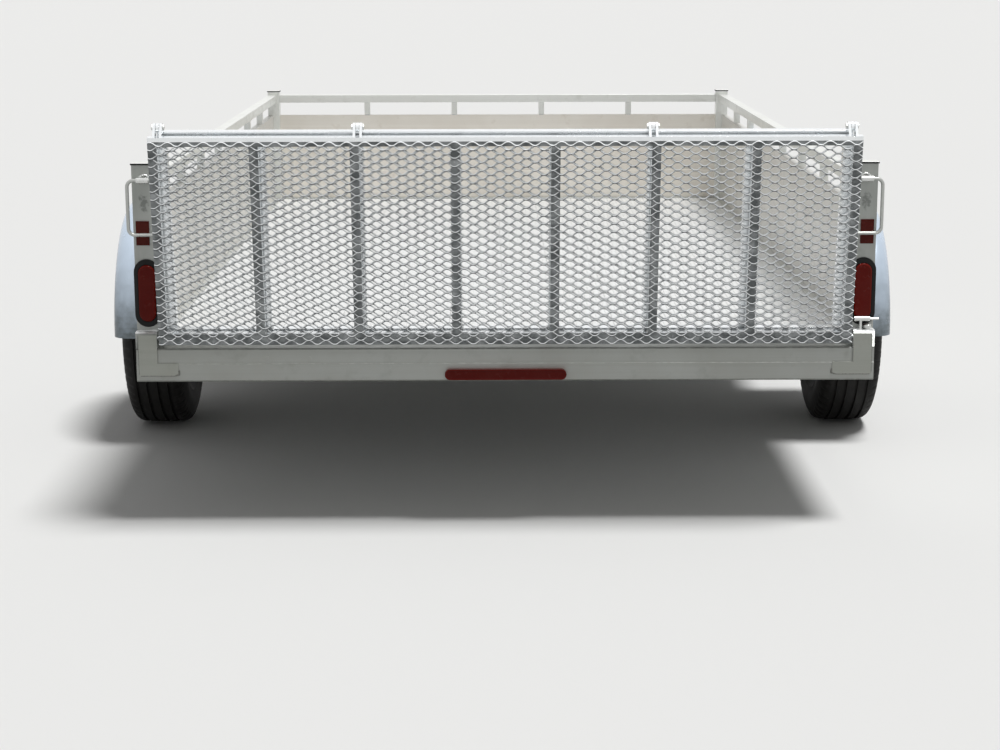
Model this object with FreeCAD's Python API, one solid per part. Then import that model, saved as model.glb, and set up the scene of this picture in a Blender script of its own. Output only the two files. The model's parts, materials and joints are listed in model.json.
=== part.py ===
import FreeCAD, Part
import math
import os

from FreeCAD import Vector

# Utility trailer: aluminium single-axle body with solid sides, a top rail on short
# uprights, a bi-fold ramp gate of expanded mesh, round fenders, a torsion axle and an
# A-frame tongue with coupler and swivel jack. Millimetres, +X right seen from behind,
# +Y forward to the tongue, +Z up. While it is built, y = 0 is the rear face of the rear
# sill and z = 0 the ground; place_origin() moves it to its final origin.

# Body
BED_LENGTH = 3658.0
BODY_HALF = 1037.0
SILL_BOTTOM = 419.0
SILL_HEIGHT = 95.0
SIDE_SILL_WIDTH = 50.0
TUBE_WALL = 3.2
DECK_DROP = 4.0
PLANK_THICKNESS = 25.0
PLANK_COUNT = 12
PLANK_GAP = 1.0
CROSSMEMBER_COUNT = 6
CROSSMEMBER_WIDTH = 45.0
CROSSMEMBER_WEB = 4.0
WALL_HEIGHT = 374.0
WALL_THICKNESS = 25.0
WALL_PLANKS = 3
WALL_GROOVE = 3.0

# Rear sill, its step and the deck's end trim
REAR_SILL_DEPTH = 85.0
SILL_STEP = 2.0
SILL_STEP_HEIGHT = 52.0
SILL_CORNER = 4.0
TRIM_LIP = 8.0
TRIM_THICKNESS = 5.0

# Corner plates on the rear face
CORNER_PLATE_THICKNESS = 3.0
CORNER_PLATE_EDGE = 8.0
CORNER_PLATE_LOW = 18.0
CORNER_PLATE_LEG = 35.0
CORNER_PLATE_TOP = 39.0
CORNER_PLATE_REACH = 58.0

# Top rail, uprights and front posts
RAIL_WIDTH = 38.0
RAIL_HEIGHT = 34.0
RAIL_GAP = 57.0
UPRIGHT_WIDTH = 25.0
UPRIGHT_PITCH = 457.0
FRONT_UPRIGHTS = 4
FRONT_UPRIGHT_PITCH = 394.0
FRONT_POST = 51.0
FRONT_POST_RISE = 16.0
CAP_THICKNESS = 4.0

# Rear posts and what they carry
POST_WIDTH = 76.0
POST_DEPTH = 50.0
POST_FRONT_OFFSET = 35.0
POST_HEIGHT = 513.0
FOOT_WIDTH = 60.0
FOOT_HEIGHT = 47.0
FOOT_CHEEK = 8.0
FOOT_PLATE = 5.0
LAMP_INSET = 33.0
LAMP_LIFT = 153.0
GROMMET_WIDTH = 72.0
GROMMET_HEIGHT = 192.0
GROMMET_FLANGE = 6.0
GROMMET_FLANGE_EDGE = 9.0
GROMMET_BODY = 22.0
LENS_WIDTH = 48.0
LENS_HEIGHT = 160.0
LENS_RISE = 12.0
LENS_EDGE = 5.0
SEAT_GAP = 0.3
REFLECTOR_INSET = 26.0
REFLECTOR_LIFT = 322.0
REFLECTOR_WIDTH = 37.0
REFLECTOR_HEIGHT = 68.0
REFLECTOR_THICKNESS = 4.0
ID_BAR_LENGTH = 342.0
ID_BAR_HEIGHT = 30.0
ID_BAR_THICKNESS = 16.0
ID_BAR_LIFT = 2.0
MARKER_LENGTH = 64.0
MARKER_HEIGHT = 24.0
MARKER_THICKNESS = 14.0
MARKER_SETBACK = 120.0

# Gate latches: one bent rod and one sleeve at each rear post
LATCH_ROD_RADIUS = 5.0
LATCH_UPPER_LIFT = 470.0
LATCH_LOWER_LIFT = 318.0
LATCH_BEND = 18.0
LATCH_REACH = 12.0
LATCH_KEEPER_EDGE = 4.0
LATCH_SLEEVE_RADIUS = 9.0
LATCH_SLEEVE_LENGTH = 34.0
LATCH_SLEEVE_INSET = 31.0
LATCH_CLEARANCE = 0.4

# Gate catch: a short bolt in a sleeve that stands on the right foot
CATCH_RADIUS = 7.0
CATCH_LENGTH = 44.0
CATCH_LIFT = 31.0
CATCH_INSET = 58.0
CATCH_BACK = 12.0
CATCH_LEG = 6.0
CATCH_LEG_INSET = 15.0
CATCH_BOLT_RADIUS = 3.5
CATCH_BOLT_REACH = 25.0

# Ramp gate: outer panel hinged on the sill, inner panel folded against it
GATE_LEAN = 8.0
GATE_SIDE_GAP = 6.0
GATE_AXIS_Y = 10.0
GATE_AXIS_LIFT = 28.0
GATE_DEPTH = 25.0
GATE_BAR_WIDTH = 25.0
GATE_BARS = 8
GATE_LOW_BAR = 32.0
GATE_HEIGHT = 576.0
GATE_PIN_RADIUS = 6.0
MESH_THICKNESS = 3.0
MESH_STRAND = 12.0
MESH_LONG_PITCH = 203.2
MESH_SHORT_PITCH = 94.0
MESH_INSET = 5.0
FOLD_GAP = 12.0
FOLD_SIDE_GAP = 11.0
FOLD_RISE = 8.0
FOLD_BOTTOM = -7.0
FOLD_PIVOT_RISE = 22.0
LUG_RADIUS = 12.0
LUG_THICKNESS = 9.0
EAR_THICKNESS = 7.0
EAR_GAP = 1.2
LUG_EDGE = 6.0
HINGE_BAR = 2
BOLT_RADIUS = 5.0
BOLT_HEAD_RADIUS = 8.5
BOLT_HEAD = 5.0
RUNNING_CLEARANCE = 0.05

# Wheels, tyres and axle
TYRE_RADIUS = 343.0
TYRE_WIDTH = 205.0
TYRE_WALL = 14.0
TYRE_BEAD_HEIGHT = 45.0
TYRE_SHOULDER_WIDTH = 17.0
TYRE_SHOULDER_HEIGHT = 15.0
TYRE_CAVITY_SIDES = 24
WHEEL_Y = 1370.0
WHEEL_GAP = 33.0
RIM_SEAT_RADIUS = 190.5
RIM_WIDTH = 152.0
RIM_WALL = 4.0
RIM_FLARE = 15.0
RIM_BEAD = 30.0
RIM_DROP = 14.0
RIM_WELL_RADIUS = 168.0
DISC_THICKNESS = 6.0
DISC_DISH = 14.0
DISC_SLOTS = 8
DISC_SLOT_INNER = 98.0
DISC_SLOT_OUTER = 142.0
DISC_SLOT_ANGLE = 24.0
BOLT_CIRCLE = 114.3
WHEEL_BOLTS = 5
STUD_RADIUS = 6.4
NUT_RADIUS = 11.0
NUT_LENGTH = 20.0
HUB_RADIUS = 42.0
HUB_FLANGE_RADIUS = 72.0
HUB_FLANGE = 10.0
HUB_NOSE_RADIUS = 32.0
HUB_NOSE_LENGTH = 34.0
SPINDLE_RADIUS = 19.0
SPINDLE_END_GAP = 7.0
AXLE_TUBE = 76.0
AXLE_PLATE = 8.0
AXLE_PLATE_LENGTH = 200.0
AXLE_END_GAP = 2.0
ARM_LENGTH = 152.0
ARM_THICKNESS = 25.0
ARM_BIG_RADIUS = 38.0
ARM_SMALL_RADIUS = 30.0
HUB_CLEARANCE = 5.0

# Fenders
FENDER_OVERHANG = 7.0
FENDER_RADIUS = 420.0
FENDER_CENTRE_Z = 365.0
FENDER_THICKNESS = 3.0
FENDER_CROWN = 55.0
FENDER_SKIRT = 22.0
FENDER_FLANGE = 30.0

# Tongue, coupler and jack
TONGUE_LENGTH = 1150.0
TONGUE_ANGLE = 25.0
TONGUE_WIDTH = 51.0
TONGUE_HEIGHT = 76.0
TONGUE_UNDER = 650.0
COUPLER_SETBACK = 150.0
BALL_RADIUS = 25.4
BALL_CLEARANCE = 0.4
SOCKET_DEPTH = 20.0
COUPLER_WALL = 6.0
COUPLER_NECK = 38.0
COUPLER_FLANGE = 60.0
COUPLER_GRIP = 170.0
COUPLER_NECK_DEPTH = 34.0
LEVER_WIDTH = 16.0
LEVER_LENGTH = 120.0
LEVER_HEIGHT = 26.0
LEVER_RISE = 22.0
JACK_AHEAD = 560.0
JACK_TUBE_RADIUS = 28.5
JACK_TUBE_WALL = 3.0
JACK_TUBE_BELOW = 150.0
JACK_TUBE_ABOVE = 330.0
JACK_STANDOFF = 26.0
JACK_LEG_ENGAGED = 110.0
JACK_FOOT_RADIUS = 55.0
JACK_FOOT_THICKNESS = 6.0
JACK_DISC_RADIUS = 42.0
JACK_PIN_RADIUS = 12.0
JACK_SEAT = 2.0
JACK_PLATE_HALF = 36.0
JACK_PLATE_THICKNESS = 8.0
JACK_CAP = 14.0
CRANK_RADIUS = 7.0
CRANK_ARM_RADIUS = 6.0
CRANK_RISE = 30.0
CRANK_ARM = 120.0
CRANK_GRIP = 80.0
CRANK_GRIP_RADIUS = 12.0

# Places that follow from the sizes above
SILL_TOP = SILL_BOTTOM + SILL_HEIGHT
DECK_TOP = SILL_TOP - DECK_DROP
DECK_UNDER = DECK_TOP - PLANK_THICKNESS
WALL_TOP = SILL_TOP + WALL_HEIGHT
RAIL_BOTTOM = WALL_TOP + RAIL_GAP
RAIL_TOP = RAIL_BOTTOM + RAIL_HEIGHT
POST_TOP = SILL_TOP + POST_HEIGHT
POST_REAR = POST_FRONT_OFFSET
INNER_HALF = BODY_HALF - SIDE_SILL_WIDTH
GATE_AXIS_Z = SILL_TOP + GATE_AXIS_LIFT
FOLD_PIVOT_U = GATE_DEPTH / 2 + FOLD_GAP / 2
FOLD_PIVOT_V = GATE_HEIGHT + FOLD_PIVOT_RISE
GATE_HALF = BODY_HALF - FOOT_WIDTH - GATE_SIDE_GAP
FOLD_HALF = BODY_HALF - POST_WIDTH - FOLD_SIDE_GAP
FOLD_BAR_PITCH = (2 * FOLD_HALF - GATE_BAR_WIDTH) / (GATE_BARS - 1)
HINGE_OUTER = FOLD_HALF - LUG_EDGE
HINGE_INNER = FOLD_HALF - GATE_BAR_WIDTH / 2 - HINGE_BAR * FOLD_BAR_PITCH
FOLD_HINGES = (-HINGE_OUTER, -HINGE_INNER, HINGE_INNER, HINGE_OUTER)
WHEEL_X = BODY_HALF + WHEEL_GAP + TYRE_WIDTH / 2
FENDER_OUTER = WHEEL_X + TYRE_WIDTH / 2 + FENDER_OVERHANG
WHEEL_Z = TYRE_RADIUS
AXLE_Z = SILL_BOTTOM - AXLE_PLATE - AXLE_TUBE / 2
ARM_DROP = AXLE_Z - WHEEL_Z
AXLE_Y = WHEEL_Y + math.sqrt(ARM_LENGTH ** 2 - ARM_DROP ** 2)
ARM_INNER = BODY_HALF
ARM_OUTER = ARM_INNER + ARM_THICKNESS
TONGUE_TOP = SILL_BOTTOM
TONGUE_BOTTOM = TONGUE_TOP - TONGUE_HEIGHT
BALL_Y = BED_LENGTH + TONGUE_LENGTH
APEX_Y = BALL_Y - COUPLER_SETBACK
BALL_Z = TONGUE_TOP - SOCKET_DEPTH / 2
LAMP_X = BODY_HALF - LAMP_INSET
LAMP_Z = SILL_TOP + LAMP_LIFT
REFLECTOR_X = BODY_HALF - REFLECTOR_INSET
REFLECTOR_Z = SILL_TOP + REFLECTOR_LIFT
LATCH_UPPER_Z = SILL_TOP + LATCH_UPPER_LIFT
LATCH_LOWER_Z = SILL_TOP + LATCH_LOWER_LIFT
LATCH_SLEEVE_X = BODY_HALF - LATCH_SLEEVE_INSET
SIN_TONGUE = math.sin(math.radians(TONGUE_ANGLE))
COS_TONGUE = math.cos(math.radians(TONGUE_ANGLE))

NODES = {}


def box(x0, x1, y0, y1, z0, z1):
    """Block between two corners."""
    return Part.makeBox(x1 - x0, y1 - y0, z1 - z0, Vector(x0, y0, z0))


def cylinder(radius, length, base, axis):
    """Round bar from a base point along an axis."""
    return Part.makeCylinder(radius, length, base, axis)


def polygon(points):
    """Closed wire through points."""
    return Part.makePolygon(list(points) + [points[0]])


def plate(points, thickness):
    """Flat plate: a closed outline pushed along a vector."""
    return Part.Face(polygon(points)).extrude(thickness)


def mirrored(shape):
    """The same shape on the other side of the trailer."""
    return shape.mirror(Vector(0, 0, 0), Vector(1, 0, 0))


def both_sides(shape):
    """A right-hand shape and its left-hand twin."""
    return [mirrored(shape), shape]


def tube_along_y(x0, x1, y0, y1, z0, z1, wall=TUBE_WALL):
    """Rectangular tube, open at both ends along Y."""
    inside = box(x0 + wall, x1 - wall, y0, y1, z0 + wall, z1 - wall)
    return box(x0, x1, y0, y1, z0, z1).cut(inside)


def tube_along_x(x0, x1, y0, y1, z0, z1, wall=TUBE_WALL):
    """Rectangular tube, open at both ends along X."""
    inside = box(x0, x1, y0 + wall, y1 - wall, z0 + wall, z1 - wall)
    return box(x0, x1, y0, y1, z0, z1).cut(inside)


def tube_along_z(x0, x1, y0, y1, z0, z1, wall=TUBE_WALL):
    """Rectangular tube, open at both ends along Z."""
    inside = box(x0 + wall, x1 - wall, y0 + wall, y1 - wall, z0, z1)
    return box(x0, x1, y0, y1, z0, z1).cut(inside)


def oval(width, height, centre_x, y, centre_z):
    """Upright oval outline with round ends, in a plane of constant y."""
    radius = width / 2
    straight = height / 2 - radius
    right, left = centre_x + radius, centre_x - radius
    top, low = centre_z + straight, centre_z - straight
    return Part.Wire([
        Part.LineSegment(Vector(right, y, low), Vector(right, y, top)).toShape(),
        Part.Arc(Vector(right, y, top), Vector(centre_x, y, top + radius),
                 Vector(left, y, top)).toShape(),
        Part.LineSegment(Vector(left, y, top), Vector(left, y, low)).toShape(),
        Part.Arc(Vector(left, y, low), Vector(centre_x, y, low - radius),
                 Vector(right, y, low)).toShape(),
    ])


def oval_block(width, height, centre_x, y0, y1, centre_z):
    """Oval bar between two planes of constant y."""
    return Part.Face(oval(width, height, centre_x, y0, centre_z)).extrude(Vector(0, y1 - y0, 0))


def wheel_point(offset, radius, degrees=0.0):
    """Point on the right wheel: x offset from its middle, radius and angle about its axis."""
    angle = math.radians(degrees)
    return Vector(WHEEL_X + offset, WHEEL_Y + radius * math.sin(angle), WHEEL_Z + radius * math.cos(angle))


def revolve_about_wheel(points):
    """Ring about the right wheel's axis from a section of (x offset, radius) points."""
    section = [wheel_point(offset, radius) for offset, radius in points]
    return Part.Face(polygon(section)).revolve(Vector(0, WHEEL_Y, WHEEL_Z), Vector(1, 0, 0), 360)


def both_flanks(points):
    """A section's right half, from its inner end out, followed by its mirrored left half."""
    return points + [(-offset, radius) for offset, radius in reversed(points)]


def gate_point(u, v, x=0.0):
    """Point in the upright gate's plane: u forward from the hinge axis, v up."""
    return Vector(x, GATE_AXIS_Y + u, GATE_AXIS_Z + v)


def lean(shape):
    """Tip an upright gate shape back about the hinge axis to where it rests."""
    return shape.rotate(gate_point(0, 0), Vector(1, 0, 0), GATE_LEAN)


def gate_box(x0, x1, u0, u1, v0, v1):
    """Block in the upright gate's plane."""
    corner = gate_point(u0, v0, x0)
    return Part.makeBox(x1 - x0, u1 - u0, v1 - v0, corner)


def make_deck():
    """Deck planks, crossmembers and the four sills."""
    start, end = REAR_SILL_DEPTH, BED_LENGTH - SIDE_SILL_WIDTH
    pitch = (2 * INNER_HALF + PLANK_GAP) / PLANK_COUNT
    planks = []
    for index in range(PLANK_COUNT):
        left = -INNER_HALF + index * pitch
        planks.append(box(left, left + pitch - PLANK_GAP, start, end, DECK_UNDER, DECK_TOP))
    NODES["deck_planks"] = planks

    members = []
    spacing = (end - start) / (CROSSMEMBER_COUNT + 1)
    half, web = CROSSMEMBER_WIDTH / 2, CROSSMEMBER_WEB
    for index in range(CROSSMEMBER_COUNT):
        y = start + spacing * (index + 1)
        low, high = SILL_BOTTOM, DECK_UNDER
        outline = [(-half, low), (half, low), (half, low + web), (web / 2, low + web),
                   (web / 2, high - web), (half, high - web), (half, high), (-half, high),
                   (-half, high - web), (-web / 2, high - web), (-web / 2, low + web), (-half, low + web)]
        points = [Vector(-INNER_HALF, y + dy, z) for dy, z in outline]
        members.append(plate(points, Vector(2 * INNER_HALF, 0, 0)))
    NODES["crossmembers"] = members

    side = tube_along_y(INNER_HALF, BODY_HALF, REAR_SILL_DEPTH, end, SILL_BOTTOM, SILL_TOP)
    NODES["side_sill_left"], NODES["side_sill_right"] = both_sides(side)
    NODES["front_sill"] = tube_along_x(-BODY_HALF, BODY_HALF, end, BED_LENGTH, SILL_BOTTOM, SILL_TOP)


def make_rear_sill():
    """Rear sill with its stepped face, the deck's end trim and the corner plates."""
    step_z = SILL_BOTTOM + SILL_STEP_HEIGHT
    outline = [(0, SILL_BOTTOM + SILL_CORNER), (SILL_CORNER, SILL_BOTTOM), (REAR_SILL_DEPTH, SILL_BOTTOM),
               (REAR_SILL_DEPTH, SILL_TOP), (SILL_STEP + SILL_CORNER, SILL_TOP),
               (SILL_STEP, SILL_TOP - SILL_CORNER), (SILL_STEP, step_z), (0, step_z - SILL_STEP)]
    points = [Vector(-BODY_HALF, y, z) for y, z in outline]
    sill = plate(points, Vector(2 * BODY_HALF, 0, 0))
    wall = TUBE_WALL + SILL_STEP
    hollow = box(-BODY_HALF, BODY_HALF, wall, REAR_SILL_DEPTH - TUBE_WALL,
                 SILL_BOTTOM + wall, SILL_TOP - wall)
    NODES["rear_sill"] = sill.cut(hollow)

    trim_half = BODY_HALF - POST_WIDTH
    trim_y = POST_REAR + POST_DEPTH - TRIM_THICKNESS
    NODES["deck_trim"] = box(-trim_half, trim_half, trim_y, trim_y + TRIM_THICKNESS,
                             SILL_TOP, SILL_TOP + TRIM_LIP)

    outer = BODY_HALF - CORNER_PLATE_EDGE
    inner = BODY_HALF - FOOT_WIDTH
    low = SILL_BOTTOM + CORNER_PLATE_LOW
    leg_top = low + CORNER_PLATE_LEG
    top = SILL_TOP + CORNER_PLATE_TOP
    reach = inner - CORNER_PLATE_REACH
    outline = [(reach, low), (outer, low), (outer, top), (inner, top), (inner, leg_top), (reach, leg_top)]
    points = [Vector(x, -CORNER_PLATE_THICKNESS, z) for x, z in outline]
    NODES["corner_plates"] = both_sides(plate(points, Vector(0, CORNER_PLATE_THICKNESS, 0)))


def wall_section(thickness, height):
    """Outline of stacked wall planks: flat faces with a small V at each joint."""
    face, back = [], []
    plank = height / WALL_PLANKS
    for index in range(1, WALL_PLANKS):
        z = index * plank
        face += [(0, z - WALL_GROOVE), (WALL_GROOVE, z), (0, z + WALL_GROOVE)]
        back = [(thickness, z + WALL_GROOVE), (thickness - WALL_GROOVE, z),
                (thickness, z - WALL_GROOVE)] + back
    return [(0, 0)] + face + [(0, height), (thickness, height)] + back + [(thickness, 0)]


def make_walls():
    """Side and front walls, the rails above them and the uprights between."""
    post_front = POST_REAR + POST_DEPTH
    wall_end = BED_LENGTH - FRONT_POST
    side_points = [Vector(BODY_HALF - t, post_front, SILL_TOP + z)
                   for t, z in wall_section(WALL_THICKNESS, WALL_HEIGHT)]
    side = plate(side_points, Vector(0, wall_end - post_front, 0))
    NODES["wall_left"], NODES["wall_right"] = both_sides(side)

    front_half = BODY_HALF - FRONT_POST
    front_points = [Vector(-front_half, BED_LENGTH - t, SILL_TOP + z)
                    for t, z in wall_section(WALL_THICKNESS, WALL_HEIGHT)]
    NODES["wall_front"] = plate(front_points, Vector(2 * front_half, 0, 0))

    rail = tube_along_y(BODY_HALF - RAIL_WIDTH, BODY_HALF, post_front, wall_end, RAIL_BOTTOM, RAIL_TOP)
    NODES["rail_left"], NODES["rail_right"] = both_sides(rail)
    NODES["rail_front"] = tube_along_x(-front_half, front_half, BED_LENGTH - RAIL_WIDTH, BED_LENGTH,
                                       RAIL_BOTTOM, RAIL_TOP)

    half = UPRIGHT_WIDTH / 2
    uprights = []
    count = int((wall_end - post_front - UPRIGHT_WIDTH) / UPRIGHT_PITCH)
    for index in range(1, count + 1):
        y = wall_end - index * UPRIGHT_PITCH
        upright = tube_along_z(BODY_HALF - UPRIGHT_WIDTH, BODY_HALF, y - half, y + half,
                               WALL_TOP, RAIL_BOTTOM)
        uprights += both_sides(upright)
    NODES["side_uprights"] = uprights
    fronts = []
    for index in range(FRONT_UPRIGHTS):
        x = (index - (FRONT_UPRIGHTS - 1) / 2) * FRONT_UPRIGHT_PITCH
        fronts.append(tube_along_z(x - half, x + half, BED_LENGTH - UPRIGHT_WIDTH, BED_LENGTH,
                                   WALL_TOP, RAIL_BOTTOM))
    NODES["front_uprights"] = fronts

    front_post = tube_along_z(front_half, BODY_HALF, wall_end, BED_LENGTH,
                              SILL_TOP, RAIL_TOP + FRONT_POST_RISE)
    NODES["front_posts"] = both_sides(front_post)


def make_rear_posts():
    """Rear posts with lamp cut-outs, their feet that hold the gate's pins, and all caps."""
    post = tube_along_z(BODY_HALF - POST_WIDTH, BODY_HALF, POST_REAR, POST_REAR + POST_DEPTH,
                        SILL_TOP, POST_TOP)
    cut_width = GROMMET_WIDTH - 2 * GROMMET_FLANGE_EDGE
    cut_height = GROMMET_HEIGHT - 2 * GROMMET_FLANGE_EDGE
    opening = oval_block(cut_width, cut_height, LAMP_X, POST_REAR, POST_REAR + TUBE_WALL, LAMP_Z)
    NODES["rear_post_left"], NODES["rear_post_right"] = both_sides(post.cut(opening))

    inner, outer = BODY_HALF - FOOT_WIDTH, BODY_HALF
    foot_top = SILL_TOP + FOOT_HEIGHT
    foot = box(inner, outer, SILL_STEP, POST_REAR, SILL_TOP, foot_top)
    hollow = box(inner + FOOT_CHEEK, outer - FOOT_PLATE, SILL_STEP + FOOT_PLATE, POST_REAR,
                 SILL_TOP, foot_top - FOOT_PLATE)
    pin_hole = cylinder(GATE_PIN_RADIUS + RUNNING_CLEARANCE, FOOT_CHEEK,
                        Vector(inner, GATE_AXIS_Y, GATE_AXIS_Z), Vector(1, 0, 0))
    NODES["post_feet"] = both_sides(foot.cut(hollow).cut(pin_hole))

    caps = []
    for x0, y0, y1, z in ((BODY_HALF - POST_WIDTH, POST_REAR, POST_REAR + POST_DEPTH, POST_TOP),
                          (BODY_HALF - FRONT_POST, BED_LENGTH - FRONT_POST, BED_LENGTH,
                           RAIL_TOP + FRONT_POST_RISE)):
        caps += both_sides(box(x0, BODY_HALF, y0, y1, z, z + CAP_THICKNESS))
    NODES["post_caps"] = caps


def make_lamps():
    """Oval tail lamps in rubber grommets, reflectors, the lamp bar and front markers."""
    edge = GROMMET_FLANGE_EDGE
    flange = oval_block(GROMMET_WIDTH, GROMMET_HEIGHT, LAMP_X, POST_REAR - GROMMET_FLANGE, POST_REAR,
                        LAMP_Z)
    body = oval_block(GROMMET_WIDTH - 2 * edge - 2 * SEAT_GAP, GROMMET_HEIGHT - 2 * edge - 2 * SEAT_GAP,
                      LAMP_X, POST_REAR, POST_REAR + GROMMET_BODY, LAMP_Z)
    seat = oval_block(LENS_WIDTH + 2 * SEAT_GAP, LENS_HEIGHT + 2 * SEAT_GAP, LAMP_X,
                      POST_REAR - GROMMET_FLANGE, POST_REAR + GROMMET_BODY - LENS_EDGE, LAMP_Z)
    NODES["tail_grommets"] = both_sides(flange.fuse(body).cut(seat).removeSplitter())

    lens_back = POST_REAR + GROMMET_BODY - LENS_EDGE
    lens = oval_block(LENS_WIDTH, LENS_HEIGHT, LAMP_X, POST_REAR - LENS_RISE, lens_back, LAMP_Z)
    rim = [e for e in lens.Edges if abs(e.BoundBox.YMax - (POST_REAR - LENS_RISE)) < 0.01]
    NODES["tail_lenses"] = both_sides(lens.makeFillet(LENS_EDGE, rim))

    half_w, half_h = REFLECTOR_WIDTH / 2, REFLECTOR_HEIGHT / 2
    reflector = box(REFLECTOR_X - half_w, REFLECTOR_X + half_w, POST_REAR - REFLECTOR_THICKNESS, POST_REAR,
                    REFLECTOR_Z - half_h, REFLECTOR_Z + half_h)
    NODES["reflectors"] = both_sides(reflector)

    z_mid = SILL_BOTTOM + ID_BAR_LIFT + ID_BAR_HEIGHT / 2 + SILL_CORNER
    bar = oval_block(ID_BAR_HEIGHT, ID_BAR_LENGTH, 0, -ID_BAR_THICKNESS, 0, 0)
    bar = bar.rotate(Vector(0, 0, 0), Vector(0, 1, 0), 90).translate(Vector(0, 0, z_mid))
    NODES["id_lamp_bar"] = bar

    marker = oval_block(MARKER_HEIGHT, MARKER_LENGTH, 0, -MARKER_THICKNESS, 0, 0)
    marker = marker.rotate(Vector(0, 0, 0), Vector(0, 1, 0), 90)
    marker = marker.rotate(Vector(0, 0, 0), Vector(0, 0, 1), 90)
    marker = marker.translate(Vector(BODY_HALF, BED_LENGTH - MARKER_SETBACK, (SILL_BOTTOM + SILL_TOP) / 2))
    NODES["marker_lamps"] = both_sides(marker)


def make_latches():
    """Bent latch rods at the rear posts, the sleeves that carry them and the gate's catch."""
    r = LATCH_ROD_RADIUS
    y = POST_REAR - LATCH_SLEEVE_RADIUS
    x_in = BODY_HALF - FOOT_WIDTH
    x_out = BODY_HALF + LATCH_REACH
    top, low, bend = LATCH_UPPER_Z, LATCH_LOWER_Z, LATCH_BEND
    cut = bend * (1 - math.sqrt(0.5))
    path = Part.Wire([
        Part.LineSegment(Vector(x_in, y, top), Vector(x_out - bend, y, top)).toShape(),
        Part.Arc(Vector(x_out - bend, y, top), Vector(x_out - cut, y, top - cut),
                 Vector(x_out, y, top - bend)).toShape(),
        Part.LineSegment(Vector(x_out, y, top - bend), Vector(x_out, y, low + bend)).toShape(),
        Part.Arc(Vector(x_out, y, low + bend), Vector(x_out - cut, y, low + cut),
                 Vector(x_out - bend, y, low)).toShape(),
        Part.LineSegment(Vector(x_out - bend, y, low), Vector(x_in, y, low)).toShape(),
    ])
    circle = Part.Wire(Part.Circle(Vector(x_in, y, top), Vector(1, 0, 0), r).toShape())
    rod = path.makePipeShell([circle], True, True)
    NODES["latch_rods"] = both_sides(rod)

    start = Vector(LATCH_SLEEVE_X - LATCH_SLEEVE_LENGTH / 2, y, top)
    sleeve = cylinder(LATCH_SLEEVE_RADIUS, LATCH_SLEEVE_LENGTH, start, Vector(1, 0, 0))
    bore = cylinder(r + LATCH_CLEARANCE, LATCH_SLEEVE_LENGTH, start, Vector(1, 0, 0))
    foot_top = SILL_TOP + FOOT_HEIGHT
    catch_x, catch_z = BODY_HALF - CATCH_INSET, foot_top + CATCH_LIFT
    catch_start = Vector(catch_x, CATCH_BACK, catch_z)
    catch = cylinder(CATCH_RADIUS, CATCH_LENGTH, catch_start, Vector(1, 0, 0))
    bolt = cylinder(CATCH_BOLT_RADIUS, CATCH_LENGTH + CATCH_BOLT_REACH, catch_start, Vector(1, 0, 0))
    leg_x = catch_x + CATCH_LEG_INSET
    leg = box(leg_x, leg_x + CATCH_LEG, CATCH_BACK - CATCH_LEG, CATCH_BACK + CATCH_LEG, foot_top, catch_z)
    NODES["latch_sleeves"] = both_sides(sleeve.cut(bore)) + [catch.fuse([bolt, leg]).removeSplitter()]


def panel_frame(half, v0, v1, u0, low_bar):
    """Gate panel frame: outer bars and equally spaced uprights round open bays."""
    bar = GATE_BAR_WIDTH
    frame = gate_box(-half, half, u0, u0 + GATE_DEPTH, v0, v1)
    pitch = (2 * half - bar) / (GATE_BARS - 1)
    for index in range(GATE_BARS - 1):
        left = -half + bar + index * pitch
        frame = frame.cut(gate_box(left, left + pitch - bar, u0, u0 + GATE_DEPTH, v0 + low_bar, v1 - bar))
    return frame


def panel_mesh(half, v0, v1, u0):
    """Sheet of expanded mesh: rows of diamonds, every other row shifted by half a pitch."""
    edge = MESH_STRAND
    columns = max(1, round((2 * half - edge) / MESH_LONG_PITCH))
    rows = max(1, round(2 * (v1 - v0 - edge) / MESH_SHORT_PITCH) - 1)
    long_pitch = (2 * half - edge) / columns
    short_pitch = 2 * (v1 - v0 - edge) / (rows + 1)
    half_long = long_pitch / 2 - MESH_STRAND
    half_short = half_long * short_pitch / long_pitch
    wires = [polygon([gate_point(u0, v0, -half), gate_point(u0, v0, half),
                      gate_point(u0, v1, half), gate_point(u0, v1, -half)])]
    for row in range(rows):
        v = v0 + edge / 2 + (row + 1) * short_pitch / 2
        shifted = row % 2
        for column in range(columns - shifted):
            x = -half + edge / 2 + (column + 0.5 + 0.5 * shifted) * long_pitch
            wires.append(polygon([gate_point(u0, v, x - half_long), gate_point(u0, v - half_short, x),
                                  gate_point(u0, v, x + half_long), gate_point(u0, v + half_short, x)]))
    face = Part.makeFace(wires, "Part::FaceMakerBullseye")
    return face.extrude(Vector(0, MESH_THICKNESS, 0))


def hinge_tab(x0, thickness, base_u0, base_u1, base_v, radius, bore):
    """Rounded tab from a bar's top up to the fold pivot, with its bore."""
    pivot_u, pivot_v = FOLD_PIVOT_U, FOLD_PIVOT_V
    pivot = gate_point(pivot_u, pivot_v, x0)
    outline = [gate_point(base_u0, base_v, x0), gate_point(base_u1, base_v, x0)]
    for u, side in ((base_u1, 1), (base_u0, -1)):
        du, dv = u - pivot_u, base_v - pivot_v
        angle = math.atan2(dv, du) + side * math.acos(radius / math.hypot(du, dv))
        outline.append(gate_point(pivot_u + radius * math.cos(angle),
                                  pivot_v + radius * math.sin(angle), x0))
    tab = plate(outline, Vector(thickness, 0, 0)).fuse(cylinder(radius, thickness, pivot, Vector(1, 0, 0)))
    return tab.cut(cylinder(bore, thickness, pivot, Vector(1, 0, 0)))


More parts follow.
